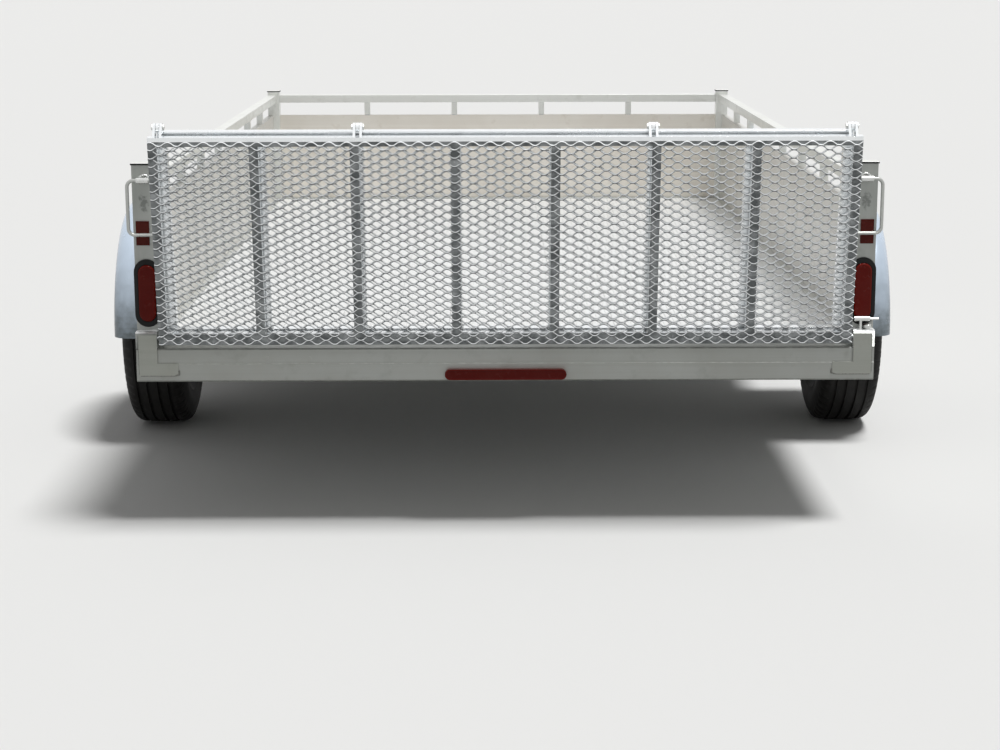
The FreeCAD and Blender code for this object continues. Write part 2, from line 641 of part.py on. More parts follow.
def make_gate():
    """Outer gate panel with its ears and pins, inner fold panel with its lugs, and bolts."""
    bottom = -GATE_LOW_BAR / 2
    back = -GATE_DEPTH / 2
    frame = panel_frame(GATE_HALF, bottom, GATE_HEIGHT, back, GATE_LOW_BAR)
    fold_back = GATE_DEPTH / 2 + FOLD_GAP + MESH_THICKNESS
    fold_top = GATE_HEIGHT + FOLD_RISE
    fold_frame = panel_frame(FOLD_HALF, FOLD_BOTTOM, fold_top, fold_back, GATE_BAR_WIDTH)

    ear_offset = LUG_THICKNESS / 2 + EAR_GAP
    bolts = []
    for x in FOLD_HINGES:
        for left in (x - ear_offset - EAR_THICKNESS, x + ear_offset):
            frame = frame.fuse(hinge_tab(left, EAR_THICKNESS, back, -back, GATE_HEIGHT,
                                         LUG_RADIUS, BOLT_RADIUS))
        lug = hinge_tab(x - LUG_THICKNESS / 2, LUG_THICKNESS, fold_back + MESH_THICKNESS,
                        fold_back + GATE_DEPTH, fold_top, LUG_RADIUS, BOLT_RADIUS + RUNNING_CLEARANCE)
        fold_frame = fold_frame.fuse(lug)
        half = ear_offset + EAR_THICKNESS
        shank = cylinder(BOLT_RADIUS, 2 * half, gate_point(FOLD_PIVOT_U, FOLD_PIVOT_V, x - half),
                         Vector(1, 0, 0))
        heads = [cylinder(BOLT_HEAD_RADIUS, BOLT_HEAD, gate_point(FOLD_PIVOT_U, FOLD_PIVOT_V, start),
                          Vector(1, 0, 0)) for start in (x - half - BOLT_HEAD, x + half)]
        bolts.append(lean(shank.fuse(heads).removeSplitter()))
    NODES["fold_bolts"] = bolts

    pin_start = GATE_HALF - GATE_BAR_WIDTH / 2
    pin_length = BODY_HALF - FOOT_WIDTH + FOOT_CHEEK - GATE_HALF
    pin = cylinder(GATE_PIN_RADIUS, pin_length, gate_point(0, 0, GATE_HALF), Vector(1, 0, 0))
    hole = cylinder(LATCH_ROD_RADIUS + LATCH_KEEPER_EDGE, GATE_HALF - pin_start,
                    gate_point(0, LATCH_LOWER_Z - GATE_AXIS_Z, pin_start), Vector(1, 0, 0))
    for side in both_sides(hole):
        frame = frame.cut(side)
    NODES["gate_frame"] = lean(frame.fuse(both_sides(pin)).removeSplitter())
    NODES["gate_mesh"] = lean(panel_mesh(GATE_HALF, bottom, GATE_HEIGHT - MESH_INSET,
                                         back - MESH_THICKNESS))
    NODES["fold_frame"] = lean(fold_frame.removeSplitter())
    NODES["fold_mesh"] = lean(panel_mesh(FOLD_HALF, FOLD_BOTTOM, fold_top - MESH_INSET,
                                         fold_back - MESH_THICKNESS))


def make_tyres():
    """Tyres: flared beads, flat sidewalls and cut shoulders round a flat-sided cavity."""
    half, seat = TYRE_WIDTH / 2, RIM_SEAT_RADIUS + SEAT_GAP
    bead = RIM_WIDTH / 2 - SEAT_GAP
    ring = revolve_about_wheel(both_flanks([
        (bead, seat),
        (half, seat + TYRE_BEAD_HEIGHT),
        (half, TYRE_RADIUS - TYRE_SHOULDER_HEIGHT),
        (half - TYRE_SHOULDER_WIDTH, TYRE_RADIUS),
    ]))
    reach = bead - TYRE_WALL
    step = 360 / TYRE_CAVITY_SIDES
    corners = [wheel_point(-reach, TYRE_RADIUS - TYRE_WALL, index * step)
               for index in range(TYRE_CAVITY_SIDES)]
    cavity = plate(corners, Vector(2 * reach, 0, 0))
    NODES["tyre_left"], NODES["tyre_right"] = both_sides(ring.cut(cavity))


def make_rims():
    """Drop-centre rims whose flanges follow the tyres' flare, with slotted and drilled discs."""
    edge, seat, well, thin = RIM_WIDTH / 2, RIM_SEAT_RADIUS, RIM_WELL_RADIUS, RIM_WALL
    flare = math.atan2(TYRE_BEAD_HEIGHT, TYRE_WIDTH / 2 - edge)
    tip = (edge + RIM_FLARE * math.cos(flare), seat + RIM_FLARE * math.sin(flare))
    outside = [(edge - RIM_BEAD - RIM_DROP, well), (edge - RIM_BEAD, seat), (edge, seat), tip]
    inside = [(tip[0] + thin * math.sin(flare), tip[1] - thin * math.cos(flare)),
              (edge + thin * math.sin(flare), seat - thin),
              (edge - RIM_BEAD, seat - thin), (edge - RIM_BEAD - RIM_DROP, well - thin)]
    rim = revolve_about_wheel(both_flanks(outside + inside))

    face, slope_start, slope_end = DISC_THICKNESS, HUB_FLANGE_RADIUS, DISC_SLOT_INNER
    bore, rim_side = HUB_NOSE_RADIUS + SEAT_GAP, well - thin / 2
    disc = revolve_about_wheel([(0, bore), (face, bore), (face, slope_start), (face + DISC_DISH, slope_end),
                                (face + DISC_DISH, rim_side), (DISC_DISH, rim_side),
                                (DISC_DISH, slope_end), (0, slope_start)])
    through = Vector(face + DISC_DISH + RIM_WALL, 0, 0)
    for index in range(DISC_SLOTS):
        middle = index * 360 / DISC_SLOTS
        start, end = middle - DISC_SLOT_ANGLE / 2, middle + DISC_SLOT_ANGLE / 2
        corners = [wheel_point(0, DISC_SLOT_INNER, start), wheel_point(0, DISC_SLOT_OUTER, start),
                   wheel_point(0, DISC_SLOT_OUTER, end), wheel_point(0, DISC_SLOT_INNER, end)]
        disc = disc.cut(plate(corners, through))
    for place in stud_places():
        disc = disc.cut(cylinder(STUD_RADIUS + SEAT_GAP, face, place, Vector(1, 0, 0)))
    NODES["rim_left"], NODES["rim_right"] = both_sides(rim.fuse(disc).removeSplitter())


def stud_places():
    """Where the wheel studs leave the right hub's flange."""
    return [wheel_point(0, BOLT_CIRCLE / 2, index * 360 / WHEEL_BOLTS) for index in range(WHEEL_BOLTS)]


def make_hubs():
    """Hubs with flange, nose, studs and nuts."""
    ahead = Vector(1, 0, 0)
    back = ARM_OUTER + HUB_CLEARANCE
    nose_end = WHEEL_X + HUB_NOSE_LENGTH
    start = Vector(back, WHEEL_Y, WHEEL_Z)
    body = cylinder(HUB_RADIUS, WHEEL_X - back, start, ahead)
    pieces = [cylinder(HUB_FLANGE_RADIUS, HUB_FLANGE, wheel_point(-HUB_FLANGE, 0), ahead),
              cylinder(HUB_NOSE_RADIUS, HUB_NOSE_LENGTH, wheel_point(0, 0), ahead)]
    for place in stud_places():
        pieces.append(cylinder(STUD_RADIUS, DISC_THICKNESS + SEAT_GAP, place, ahead))
        pieces.append(cylinder(NUT_RADIUS, NUT_LENGTH, place + ahead * DISC_THICKNESS, ahead))
    bore = cylinder(SPINDLE_RADIUS + RUNNING_CLEARANCE, nose_end - back - HUB_CLEARANCE, start, ahead)
    hub = body.fuse(pieces).cut(bore).removeSplitter()
    NODES["hub_left"], NODES["hub_right"] = both_sides(hub)


def make_axle():
    """Torsion axle: square tube with mounting plates, trailing arms and spindles."""
    half = AXLE_TUBE / 2
    end = BODY_HALF - AXLE_END_GAP
    beam = tube_along_x(-end, end, AXLE_Y - half, AXLE_Y + half, AXLE_Z - half, AXLE_Z + half)
    reach = AXLE_PLATE_LENGTH / 2
    pad = box(INNER_HALF, end, AXLE_Y - reach, AXLE_Y + reach, AXLE_Z + half, SILL_BOTTOM)
    NODES["axle_beam"] = beam.fuse(both_sides(pad)).removeSplitter()

    big = cylinder(ARM_BIG_RADIUS, ARM_THICKNESS, Vector(ARM_INNER, AXLE_Y, AXLE_Z), Vector(1, 0, 0))
    small = cylinder(ARM_SMALL_RADIUS, ARM_THICKNESS, Vector(ARM_INNER, WHEEL_Y, WHEEL_Z), Vector(1, 0, 0))
    dy, dz = AXLE_Y - WHEEL_Y, AXLE_Z - WHEEL_Z
    along = math.atan2(dz, dy)
    flare = math.acos((ARM_BIG_RADIUS - ARM_SMALL_RADIUS) / ARM_LENGTH)
    corners = []
    for radius, y, z, side in ((ARM_BIG_RADIUS, AXLE_Y, AXLE_Z, 1), (ARM_SMALL_RADIUS, WHEEL_Y, WHEEL_Z, 1),
                               (ARM_SMALL_RADIUS, WHEEL_Y, WHEEL_Z, -1),
                               (ARM_BIG_RADIUS, AXLE_Y, AXLE_Z, -1)):
        angle = along + side * flare
        corners.append(Vector(ARM_INNER, y + radius * math.cos(angle), z + radius * math.sin(angle)))
    web = plate(corners, Vector(ARM_THICKNESS, 0, 0))
    spindle_end = WHEEL_X + HUB_NOSE_LENGTH - SPINDLE_END_GAP
    spindle = cylinder(SPINDLE_RADIUS, spindle_end - ARM_OUTER, Vector(ARM_OUTER, WHEEL_Y, WHEEL_Z),
                       Vector(1, 0, 0))
    stub = cylinder(half - TUBE_WALL - SEAT_GAP, AXLE_END_GAP + HUB_RADIUS,
                    Vector(ARM_INNER - AXLE_END_GAP - HUB_RADIUS, AXLE_Y, AXLE_Z), Vector(1, 0, 0))
    arm = big.fuse([small, web, spindle, stub]).removeSplitter()
    NODES["torsion_arm_left"], NODES["torsion_arm_right"] = both_sides(arm)


def make_fenders():
    """Round fenders: one crowned section swept over the wheel, ends cut level."""
    t, crown, top = FENDER_THICKNESS, FENDER_CROWN, FENDER_RADIUS
    inner, outer = BODY_HALF, FENDER_OUTER
    skirt_r = top - crown - FENDER_SKIRT
    flange_r = top - t - FENDER_FLANGE

    def at(x, radius):
        return Vector(x, WHEEL_Y - radius, FENDER_CENTRE_Z)

    bend = crown * math.sqrt(0.5)
    inset = (crown - t) * math.sqrt(0.5)
    cx, cr = outer - crown, top - crown
    section = Part.Wire([
        Part.LineSegment(at(inner, top), at(cx, top)).toShape(),
        Part.Arc(at(cx, top), at(cx + bend, cr + bend), at(outer, cr)).toShape(),
        Part.LineSegment(at(outer, cr), at(outer, skirt_r)).toShape(),
        Part.LineSegment(at(outer, skirt_r), at(outer - t, skirt_r)).toShape(),
        Part.LineSegment(at(outer - t, skirt_r), at(outer - t, cr)).toShape(),
        Part.Arc(at(outer - t, cr), at(cx + inset, cr + inset), at(cx, top - t)).toShape(),
        Part.LineSegment(at(cx, top - t), at(inner + t, top - t)).toShape(),
        Part.LineSegment(at(inner + t, top - t), at(inner + t, flange_r)).toShape(),
        Part.LineSegment(at(inner + t, flange_r), at(inner, flange_r)).toShape(),
        Part.LineSegment(at(inner, flange_r), at(inner, top)).toShape(),
    ])
    shell = Part.Face(section).revolve(Vector(0, WHEEL_Y, FENDER_CENTRE_Z), Vector(1, 0, 0), -180)
    NODES["fender_left"], NODES["fender_right"] = both_sides(shell)


def tongue_point(along, across, z):
    """Point on the right tongue rail: along it back from the apex, across it outwards."""
    x = TONGUE_WIDTH / 2 / COS_TONGUE + along * SIN_TONGUE + across * COS_TONGUE
    y = APEX_Y - along * COS_TONGUE + across * SIN_TONGUE
    return Vector(x, y, z)


def make_tongue():
    """The A-frame's two rails, from the coupler back under the bed."""
    length = (APEX_Y - (BED_LENGTH - TONGUE_UNDER)) / COS_TONGUE
    half = TONGUE_WIDTH / 2
    outline = [tongue_point(0, -half, TONGUE_BOTTOM), tongue_point(length, -half, TONGUE_BOTTOM),
               tongue_point(length, half, TONGUE_BOTTOM), tongue_point(0, half, TONGUE_BOTTOM)]
    inside = half - TUBE_WALL
    hollow = [tongue_point(0, -inside, TONGUE_BOTTOM + TUBE_WALL),
              tongue_point(length, -inside, TONGUE_BOTTOM + TUBE_WALL),
              tongue_point(length, inside, TONGUE_BOTTOM + TUBE_WALL),
              tongue_point(0, inside, TONGUE_BOTTOM + TUBE_WALL)]
    rail = plate(outline, Vector(0, 0, TONGUE_HEIGHT)).cut(
        plate(hollow, Vector(0, 0, TONGUE_HEIGHT - 2 * TUBE_WALL)))
    side = box(0, BODY_HALF, APEX_Y - 2 * BED_LENGTH, APEX_Y + TONGUE_HEIGHT, TONGUE_BOTTOM, TONGUE_TOP)
    rail = rail.common(side)
    NODES["tongue_rail_left"], NODES["tongue_rail_right"] = both_sides(rail)


def rail_plate(along0, along1, across0, across1, z0, z1):
    """Block in the right tongue rail's own directions."""
    corners = [tongue_point(along0, across0, z0), tongue_point(along1, across0, z0),
               tongue_point(along1, across1, z0), tongue_point(along0, across1, z0)]
    return plate(corners, Vector(0, 0, z1 - z0))


def make_coupler():
    """Ball coupler: spherical socket, neck, top plate and flanges on the rails, with its lever."""
    wall, neck = COUPLER_WALL, COUPLER_NECK
    half = TONGUE_WIDTH / 2
    socket = BALL_RADIUS + BALL_CLEARANCE
    centre = Vector(0, BALL_Y, BALL_Z)
    mouth = Vector(0, BALL_Y, BALL_Z - SOCKET_DEPTH)
    low = TONGUE_TOP - COUPLER_NECK_DEPTH
    rear = tongue_point(COUPLER_GRIP, half + wall, TONGUE_TOP)
    shoulder = tongue_point(0, half + wall, TONGUE_TOP)
    outline = [Vector(neck, BALL_Y, TONGUE_TOP), Vector(neck, shoulder.y + neck, TONGUE_TOP),
               shoulder, rear]
    outline += [Vector(-p.x, p.y, p.z) for p in reversed(outline)]
    body = plate(outline, Vector(0, 0, wall))
    flange = rail_plate(0, COUPLER_GRIP, half, half + wall, TONGUE_TOP - COUPLER_FLANGE, TONGUE_TOP)
    cheek = box(neck - wall, neck, shoulder.y + neck / 2, BALL_Y, low, TONGUE_TOP)
    step = plate([Vector(neck, shoulder.y + neck, low), Vector(neck - wall, shoulder.y + neck, low),
                  tongue_point(0, half, low), tongue_point(0, half + wall, low)],
                 Vector(0, 0, COUPLER_NECK_DEPTH))
    body = body.fuse(both_sides(flange) + both_sides(cheek) + both_sides(step))
    body = body.fuse([Part.makeSphere(socket + wall, centre),
                      cylinder(socket + wall, SOCKET_DEPTH, mouth, Vector(0, 0, 1))])
    below = cylinder(2 * socket, 2 * socket, mouth - Vector(0, 0, 2 * socket), Vector(0, 0, 1))
    hollow = Part.makeSphere(socket, centre).fuse(cylinder(socket, SOCKET_DEPTH, mouth, Vector(0, 0, 1)))
    NODES["coupler"] = body.cut(below).cut(hollow).removeSplitter()

    seat_z = TONGUE_TOP + wall
    start = BALL_Y - 2 * socket
    lever = [(start, seat_z), (start - LEVER_WIDTH, seat_z), (start - LEVER_LENGTH, seat_z + LEVER_RISE),
             (start - LEVER_LENGTH, seat_z + LEVER_RISE + LEVER_WIDTH / 2),
             (start - LEVER_WIDTH, seat_z + LEVER_HEIGHT), (start, seat_z + LEVER_HEIGHT)]
    points = [Vector(-LEVER_WIDTH / 2, y, z) for y, z in lever]
    NODES["coupler_lever"] = plate(points, Vector(LEVER_WIDTH, 0, 0))


def make_jack():
    """Swivel jack on the left rail: bracket, outer tube with crank, sliding leg and foot."""
    along = (APEX_Y - BED_LENGTH - JACK_AHEAD) / COS_TONGUE
    half = TONGUE_WIDTH / 2
    pivot_z = (TONGUE_TOP + TONGUE_BOTTOM) / 2
    face = half + JACK_PLATE_THICKNESS
    disc_start = face + SEAT_GAP
    tube_across = disc_start + JACK_STANDOFF - JACK_SEAT + JACK_TUBE_RADIUS
    outward = Vector(COS_TONGUE, SIN_TONGUE, 0)
    back = Vector(SIN_TONGUE, -COS_TONGUE, 0)
    up = Vector(0, 0, 1)
    pin_length = JACK_PLATE_THICKNESS + JACK_STANDOFF / 2
    base = rail_plate(along - JACK_PLATE_HALF, along + JACK_PLATE_HALF, half, face,
                      pivot_z - JACK_PLATE_HALF, pivot_z + JACK_PLATE_HALF)
    pin = cylinder(JACK_PIN_RADIUS, pin_length, tongue_point(along, half, pivot_z), outward)
    NODES["jack_bracket"] = mirrored(base.fuse(pin).removeSplitter())

    tube_low = pivot_z - JACK_TUBE_BELOW
    length = JACK_TUBE_BELOW + JACK_TUBE_ABOVE
    foot = tongue_point(along, tube_across, tube_low)
    disc = cylinder(JACK_DISC_RADIUS, JACK_STANDOFF, tongue_point(along, disc_start, pivot_z), outward)
    bore = cylinder(JACK_PIN_RADIUS + RUNNING_CLEARANCE, JACK_STANDOFF / 2 + SEAT_GAP,
                    tongue_point(along, disc_start - SEAT_GAP, pivot_z), outward)
    tube = cylinder(JACK_TUBE_RADIUS, length, foot, up).fuse(disc).cut(bore)
    inner = JACK_TUBE_RADIUS - JACK_TUBE_WALL
    NODES["jack_tube"] = mirrored(tube.cut(cylinder(inner, length, foot, up)))

    top = foot + up * length
    crank_z = top + up * (JACK_CAP + CRANK_RISE)
    cap = cylinder(JACK_TUBE_RADIUS, JACK_CAP, top, up)
    elbow = crank_z + back * CRANK_ARM
    shaft = cylinder(CRANK_RADIUS, CRANK_RISE + 2 * CRANK_RADIUS, top + up * JACK_CAP, up)
    arm = cylinder(CRANK_ARM_RADIUS, CRANK_ARM, crank_z, back)
    riser = cylinder(CRANK_RADIUS, 4 * CRANK_RADIUS, elbow - up * 2 * CRANK_RADIUS, up)
    grip = cylinder(CRANK_GRIP_RADIUS, CRANK_GRIP, elbow + up * 2 * CRANK_RADIUS, up)
    NODES["jack_crank"] = mirrored(cap.fuse([shaft, arm, riser, grip]).removeSplitter())

    ground = Vector(foot.x, foot.y, 0)
    leg_radius = inner - RUNNING_CLEARANCE
    leg = cylinder(leg_radius, tube_low + JACK_LEG_ENGAGED, ground, up)
    NODES["jack_leg"] = mirrored(leg.fuse(cylinder(JACK_FOOT_RADIUS, JACK_FOOT_THICKNESS, ground, up))
                                 .removeSplitter())
    pivot = tongue_point(along, half, pivot_z)
    print("jack pivot", -pivot.x, pivot.y, pivot.z, "foot", -foot.x, foot.y)


def place_origin():
    """Move everything so that the origin is on the ground at the middle of the outline."""
    shapes = [shape for node in NODES.values() for shape in (node if isinstance(node, list) else [node])]
    bounds = Part.makeCompound(shapes).optimalBoundingBox(False, False)
    middle = (bounds.YMin + bounds.YMax) / 2
    print("bounds", bounds)
    print("origin is", middle, "mm ahead of the rear sill")
    return Vector(0, -middle, 0)


make_deck()
make_rear_sill()
make_walls()
make_rear_posts()
make_lamps()
make_latches()
make_gate()
make_tyres()
make_rims()
make_hubs()
make_axle()
make_fenders()
make_tongue()
make_coupler()
make_jack()

os.makedirs("parts", exist_ok=True)
shift = place_origin()
for name, node in NODES.items():
    solids = node if isinstance(node, list) else [node]
    shape = solids[0] if len(solids) == 1 else Part.makeCompound(solids)
    shape.translate(shift)
    shape.exportStep("parts/" + name + ".step")
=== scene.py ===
"""Utility trailer with a bi-fold ramp gate: its looks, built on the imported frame."""

import json
import logging
import math
from collections.abc import Callable, Iterable, Sequence
from dataclasses import dataclass, replace
from enum import Enum

import bmesh
import bpy
from mathutils import Matrix, Vector


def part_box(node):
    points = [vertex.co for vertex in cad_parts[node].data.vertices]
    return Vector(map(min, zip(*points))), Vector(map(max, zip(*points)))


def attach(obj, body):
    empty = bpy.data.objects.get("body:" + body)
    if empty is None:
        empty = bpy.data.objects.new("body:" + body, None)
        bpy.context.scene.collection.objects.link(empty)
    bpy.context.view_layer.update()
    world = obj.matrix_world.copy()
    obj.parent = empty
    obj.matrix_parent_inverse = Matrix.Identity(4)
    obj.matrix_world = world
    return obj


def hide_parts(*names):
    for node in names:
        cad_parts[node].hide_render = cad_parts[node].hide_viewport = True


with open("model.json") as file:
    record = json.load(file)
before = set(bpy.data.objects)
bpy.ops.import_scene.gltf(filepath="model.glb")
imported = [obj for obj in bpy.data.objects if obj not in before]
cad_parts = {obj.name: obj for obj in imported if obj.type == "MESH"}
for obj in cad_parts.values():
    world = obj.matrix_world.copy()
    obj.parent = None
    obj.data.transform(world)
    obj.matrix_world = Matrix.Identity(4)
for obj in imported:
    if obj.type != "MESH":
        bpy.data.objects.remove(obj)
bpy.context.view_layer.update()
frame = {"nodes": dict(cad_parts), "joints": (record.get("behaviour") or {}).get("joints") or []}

log = logging.getLogger("trailer")

Colour = tuple[float, float, float]
Points = Sequence[tuple[float, float]]
Mesh = bmesh.types.BMesh
Layer = bmesh.types.BMLayerItem
Material = bpy.types.Material
Node = bpy.types.Node
Socket = bpy.types.NodeSocket
Value = float | tuple[float, ...] | Socket

MM = 0.001
NEAR = 0.1 * MM
WELD_STEP = 2.6 * MM
SILL_STEP = 2.0 * MM
TONGUE_TURN = math.radians(25.0)
SIDES = (-1, 1)
UP = Vector((0, 0, 1))
DOWN = Vector((0, 0, -1))
REARWARD = Vector((0, -1, 0))


class Body(Enum):
    """The frame's bodies."""

    CHASSIS = "chassis"
    WHEEL_LEFT = "wheel_left"
    WHEEL_RIGHT = "wheel_right"
    GATE = "gate"
    FOLD = "fold_panel"
    JACK = "jack"
    RAM = "jack_ram"


class Grain(Enum):
    """The way in which an extrusion's draw lines run: the stretch of their pattern on each axis."""

    ALONG_X = (1.2, 260.0, 260.0)
    ALONG_Y = (260.0, 1.2, 260.0)
    ALONG_Z = (260.0, 260.0, 1.2)
    NONE = (60.0, 60.0, 60.0)


class Slot(Enum):
    """The record's material slots."""

    FRAME = "aluminium_frame"
    DECK = "aluminium_deck"
    MESH = "aluminium_mesh"
    FENDER = "aluminium_fender"
    ZINC = "zinc_steel"
    GALVANISED = "galvanised_steel"
    TONGUE = "tongue_aluminium"
    RIM = "rim_silver"
    TYRE = "tyre"
    RUBBER = "rubber"
    RED = "red_lens"
    REFLECTOR = "reflector"
    AMBER = "amber_lens"


# Node trees


class Graph:
    """Builds one node tree, a material's or a group's."""

    def __init__(self, tree: bpy.types.NodeTree) -> None:
        """Start on an empty tree.

        Args:
            tree: the node tree to fill.
        """
        self.tree = tree
        tree.nodes.clear()

    def add(self, kind: str, **settings: object) -> Node:
        """Add a node and set its properties.

        Args:
            kind: the node's type name.
            settings: its properties by name.

        Returns:
            The new node.
        """
        node = self.tree.nodes.new(kind)
        for name, value in settings.items():
            setattr(node, name, value)
        return node

    def feed(self, target: Socket, value: Value) -> None:
        """Set or link one input.

        Args:
            target: the input socket.
            value: a number, a tuple or another node's output.
        """
        if isinstance(value, bpy.types.NodeSocket):
            self.tree.links.new(value, target)
        elif target.type == "RGBA" and len(value) == 3:
            target.default_value = (*value, 1.0)
        else:
            target.default_value = value

    def place(self, stretch: tuple[float, float, float] = (1.0, 1.0, 1.0)) -> Socket:
        """Object coordinates, stretched.

        Args:
            stretch: the scale on each axis.

        Returns:
            The vector output.
        """
        coords = self.add("ShaderNodeTexCoord")
        mapping = self.add("ShaderNodeMapping")
        self.feed(mapping.inputs["Vector"], coords.outputs["Object"])
        self.feed(mapping.inputs["Scale"], stretch)
        return mapping.outputs["Vector"]

    def noise(self, vector: Socket, scale: Value, detail: float = 3.0, rough: float = 0.5) -> Socket:
        """Noise value.

        Args:
            vector: where it is read.
            scale: its frequency.
            detail: its octaves.
            rough: how strong the finer octaves are.

        Returns:
            The value output, about 0.5 on average.
        """
        node = self.add("ShaderNodeTexNoise")
        self.feed(node.inputs["Vector"], vector)
        self.feed(node.inputs["Scale"], scale)
        self.feed(node.inputs["Detail"], detail)
        self.feed(node.inputs["Roughness"], rough)
        return node.outputs[0]

    def math(self, operation: str, first: Value, second: Value = 0.0, clamp: bool = False) -> Socket:
        """One sum.

        Args:
            operation: its name, such as MULTIPLY.
            first: the first value.
            second: the second value.
            clamp: whether the result stays between 0 and 1.

        Returns:
            The result.
        """
        node = self.add("ShaderNodeMath", operation=operation, use_clamp=clamp)
        self.feed(node.inputs[0], first)
        self.feed(node.inputs[1], second)
        return node.outputs[0]

    def remap(self, value: Value, low: float, high: float, to_low: float = 0.0,
              to_high: float = 1.0) -> Socket:
        """Spread a range over another, clamped.

        Args:
            value: what is read.
            low: the value that gives to_low.
            high: the value that gives to_high.
            to_low: the result at low.
            to_high: the result at high.

        Returns:
            The result.
        """
        node = self.add("ShaderNodeMapRange")
        for socket, number in zip(list(node.inputs)[:5], (value, low, high, to_low, to_high)):
            self.feed(socket, number)
        return node.outputs[0]

    def blend(self, share: Value, first: Value, second: Value) -> Socket:
        """Mix two colours.

        Args:
            share: how much of the second.
            first: the first colour.
            second: the second colour.

        Returns:
            The colour output.
        """
        node = self.add("ShaderNodeMix", data_type="RGBA")
        self.feed(node.inputs[0], share)
        self.feed(node.inputs[6], first)
        self.feed(node.inputs[7], second)
        return node.outputs[2]

    def bump(self, shader: Node, height: Socket, strength: float, distance: float) -> None:
        """Let a height tilt a shader's normal.

        Args:
            shader: the shader node.
            height: what is read as height.
            strength: how much of it counts.
            distance: how high it stands, in metres.
        """
        node = self.add("ShaderNodeBump")
        self.feed(node.inputs["Strength"], strength)
        self.feed(node.inputs["Distance"], distance)
        self.feed(node.inputs["Height"], height)
        self.feed(shader.inputs["Normal"], node.outputs[0])

    def group(self, effect: "Effect", **inputs: Value) -> Node:
        """Place a shared effect.

        Args:
            effect: the effect.
            inputs: its inputs by name.

        Returns:
            The group node.
        """
        node = self.add("ShaderNodeGroup", node_tree=effect.tree())
        for name, value in inputs.items():
            self.feed(node.inputs[name], value)
        return node


class Effect:
    """A shared effect: one node group, built once and placed in each material."""

    title = ""
    inputs: tuple[tuple[str, str], ...] = ()
    outputs: tuple[str, ...] = ("Mask",)

    def tree(self) -> bpy.types.NodeTree:
        """Return the group, built on first use."""
        found = bpy.data.node_groups.get(self.title)
        if found:
            return found
        tree = bpy.data.node_groups.new(self.title, "ShaderNodeTree")
        for name, kind in self.inputs:
            tree.interface.new_socket(name, in_out="INPUT", socket_type=kind)
        for name in self.outputs:
            tree.interface.new_socket(name, in_out="OUTPUT", socket_type="NodeSocketFloat")
        graph = Graph(tree)
        entry = graph.add("NodeGroupInput")
        leave = graph.add("NodeGroupOutput")
        for name, value in self.wire(graph, entry).items():
            graph.feed(leave.inputs[name], value)
        return tree

    def wire(self, graph: Graph, entry: Node) -> dict[str, Socket]:
        """Build the inside; each effect has its own.

        Args:
            graph: the group's tree.
            entry: its input node.

        Returns:
            Each output's value by name.
        """
        raise NotImplementedError


class DrawLines(Effect):
    """Fine lines that an extrusion die leaves, with broader streaks between them."""

    title = "draw_lines"
    inputs = (("Vector", "NodeSocketVector"),)
    outputs = ("Height", "Streak")

    def wire(self, graph: Graph, entry: Node) -> dict[str, Socket]:
        """Build the inside.

        Args:
            graph: the group's tree.
            entry: its input node.

        Returns:
            Height and Streak.
        """
        fine = graph.noise(entry.outputs["Vector"], scale=5.0, detail=4.0, rough=0.65)
        broad = graph.noise(entry.outputs["Vector"], scale=0.35, detail=2.0)
        return {"Height": fine, "Streak": graph.remap(graph.math("ADD", fine, broad), 0.75, 1.3)}


class Handling(Effect):
    """Cloudy stains and smaller finger and water marks."""

    title = "handling"
    inputs = (("Size", "NodeSocketFloat"),)
    outputs = ("Mask", "Cloud")
    spots_per_stain = 7.0
    stain_strength = 0.7

    def wire(self, graph: Graph, entry: Node) -> dict[str, Socket]:
        """Build the inside.

        Args:
            graph: the group's tree.
            entry: its input node.

        Returns:
            Mask and Cloud.
        """
        where, size = graph.place(), entry.outputs["Size"]
        cloud = graph.noise(where, size, rough=0.55)
        spots = graph.noise(where, graph.math("MULTIPLY", size, self.spots_per_stain), detail=5.0, rough=0.62)
        wide = graph.remap(cloud, 0.42, 0.68)
        marks = graph.remap(spots, 0.52, 0.70)
        mask = graph.math("MAXIMUM", graph.math("MULTIPLY", wide, self.stain_strength), marks)
        return {"Mask": mask, "Cloud": cloud}


class EdgeWearAndLight(Effect):
    """Marked faces turned to the edge colour, broken up along their length: rubbed edges, and on some
    finishes painted highlight and painted shade.
    """

    title = "edge_wear_and_light"
    inputs = (("Amount", "NodeSocketFloat"),)

    def wire(self, graph: Graph, entry: Node) -> dict[str, Socket]:
        """Build the inside.

        Args:
            graph: the group's tree.
            entry: its input node.

        Returns:
            Mask.
        """
        edge = graph.add("ShaderNodeAttribute", attribute_name="edge").outputs["Fac"]
        patches = graph.noise(graph.place(), scale=45.0, detail=4.0, rough=0.6)
        broken = graph.remap(patches, 0.32, 0.62, 0.25, 1.0)
        return {"Mask": graph.math("MULTIPLY", graph.math("MULTIPLY", edge, broken), entry.outputs["Amount"])}


class PaintedShadeMask(Effect):
    """Painted shade on the marked faces, such as those that lie behind a mesh sheet, thinner here and there.
    """

    title = "painted_shade_mask"

    def wire(self, graph: Graph, entry: Node) -> dict[str, Socket]:
        """Build the inside.

        Args:
            graph: the group's tree.
            entry: its input node.

        Returns:
            Mask.
        """
        painted_shade = graph.add("ShaderNodeAttribute", attribute_name="painted_shade").outputs["Fac"]
        patches = graph.noise(graph.place(), scale=26.0, detail=4.0, rough=0.6)
        return {"Mask": graph.math("MULTIPLY", painted_shade, graph.remap(patches, 0.30, 0.60, 0.62, 1.0))}


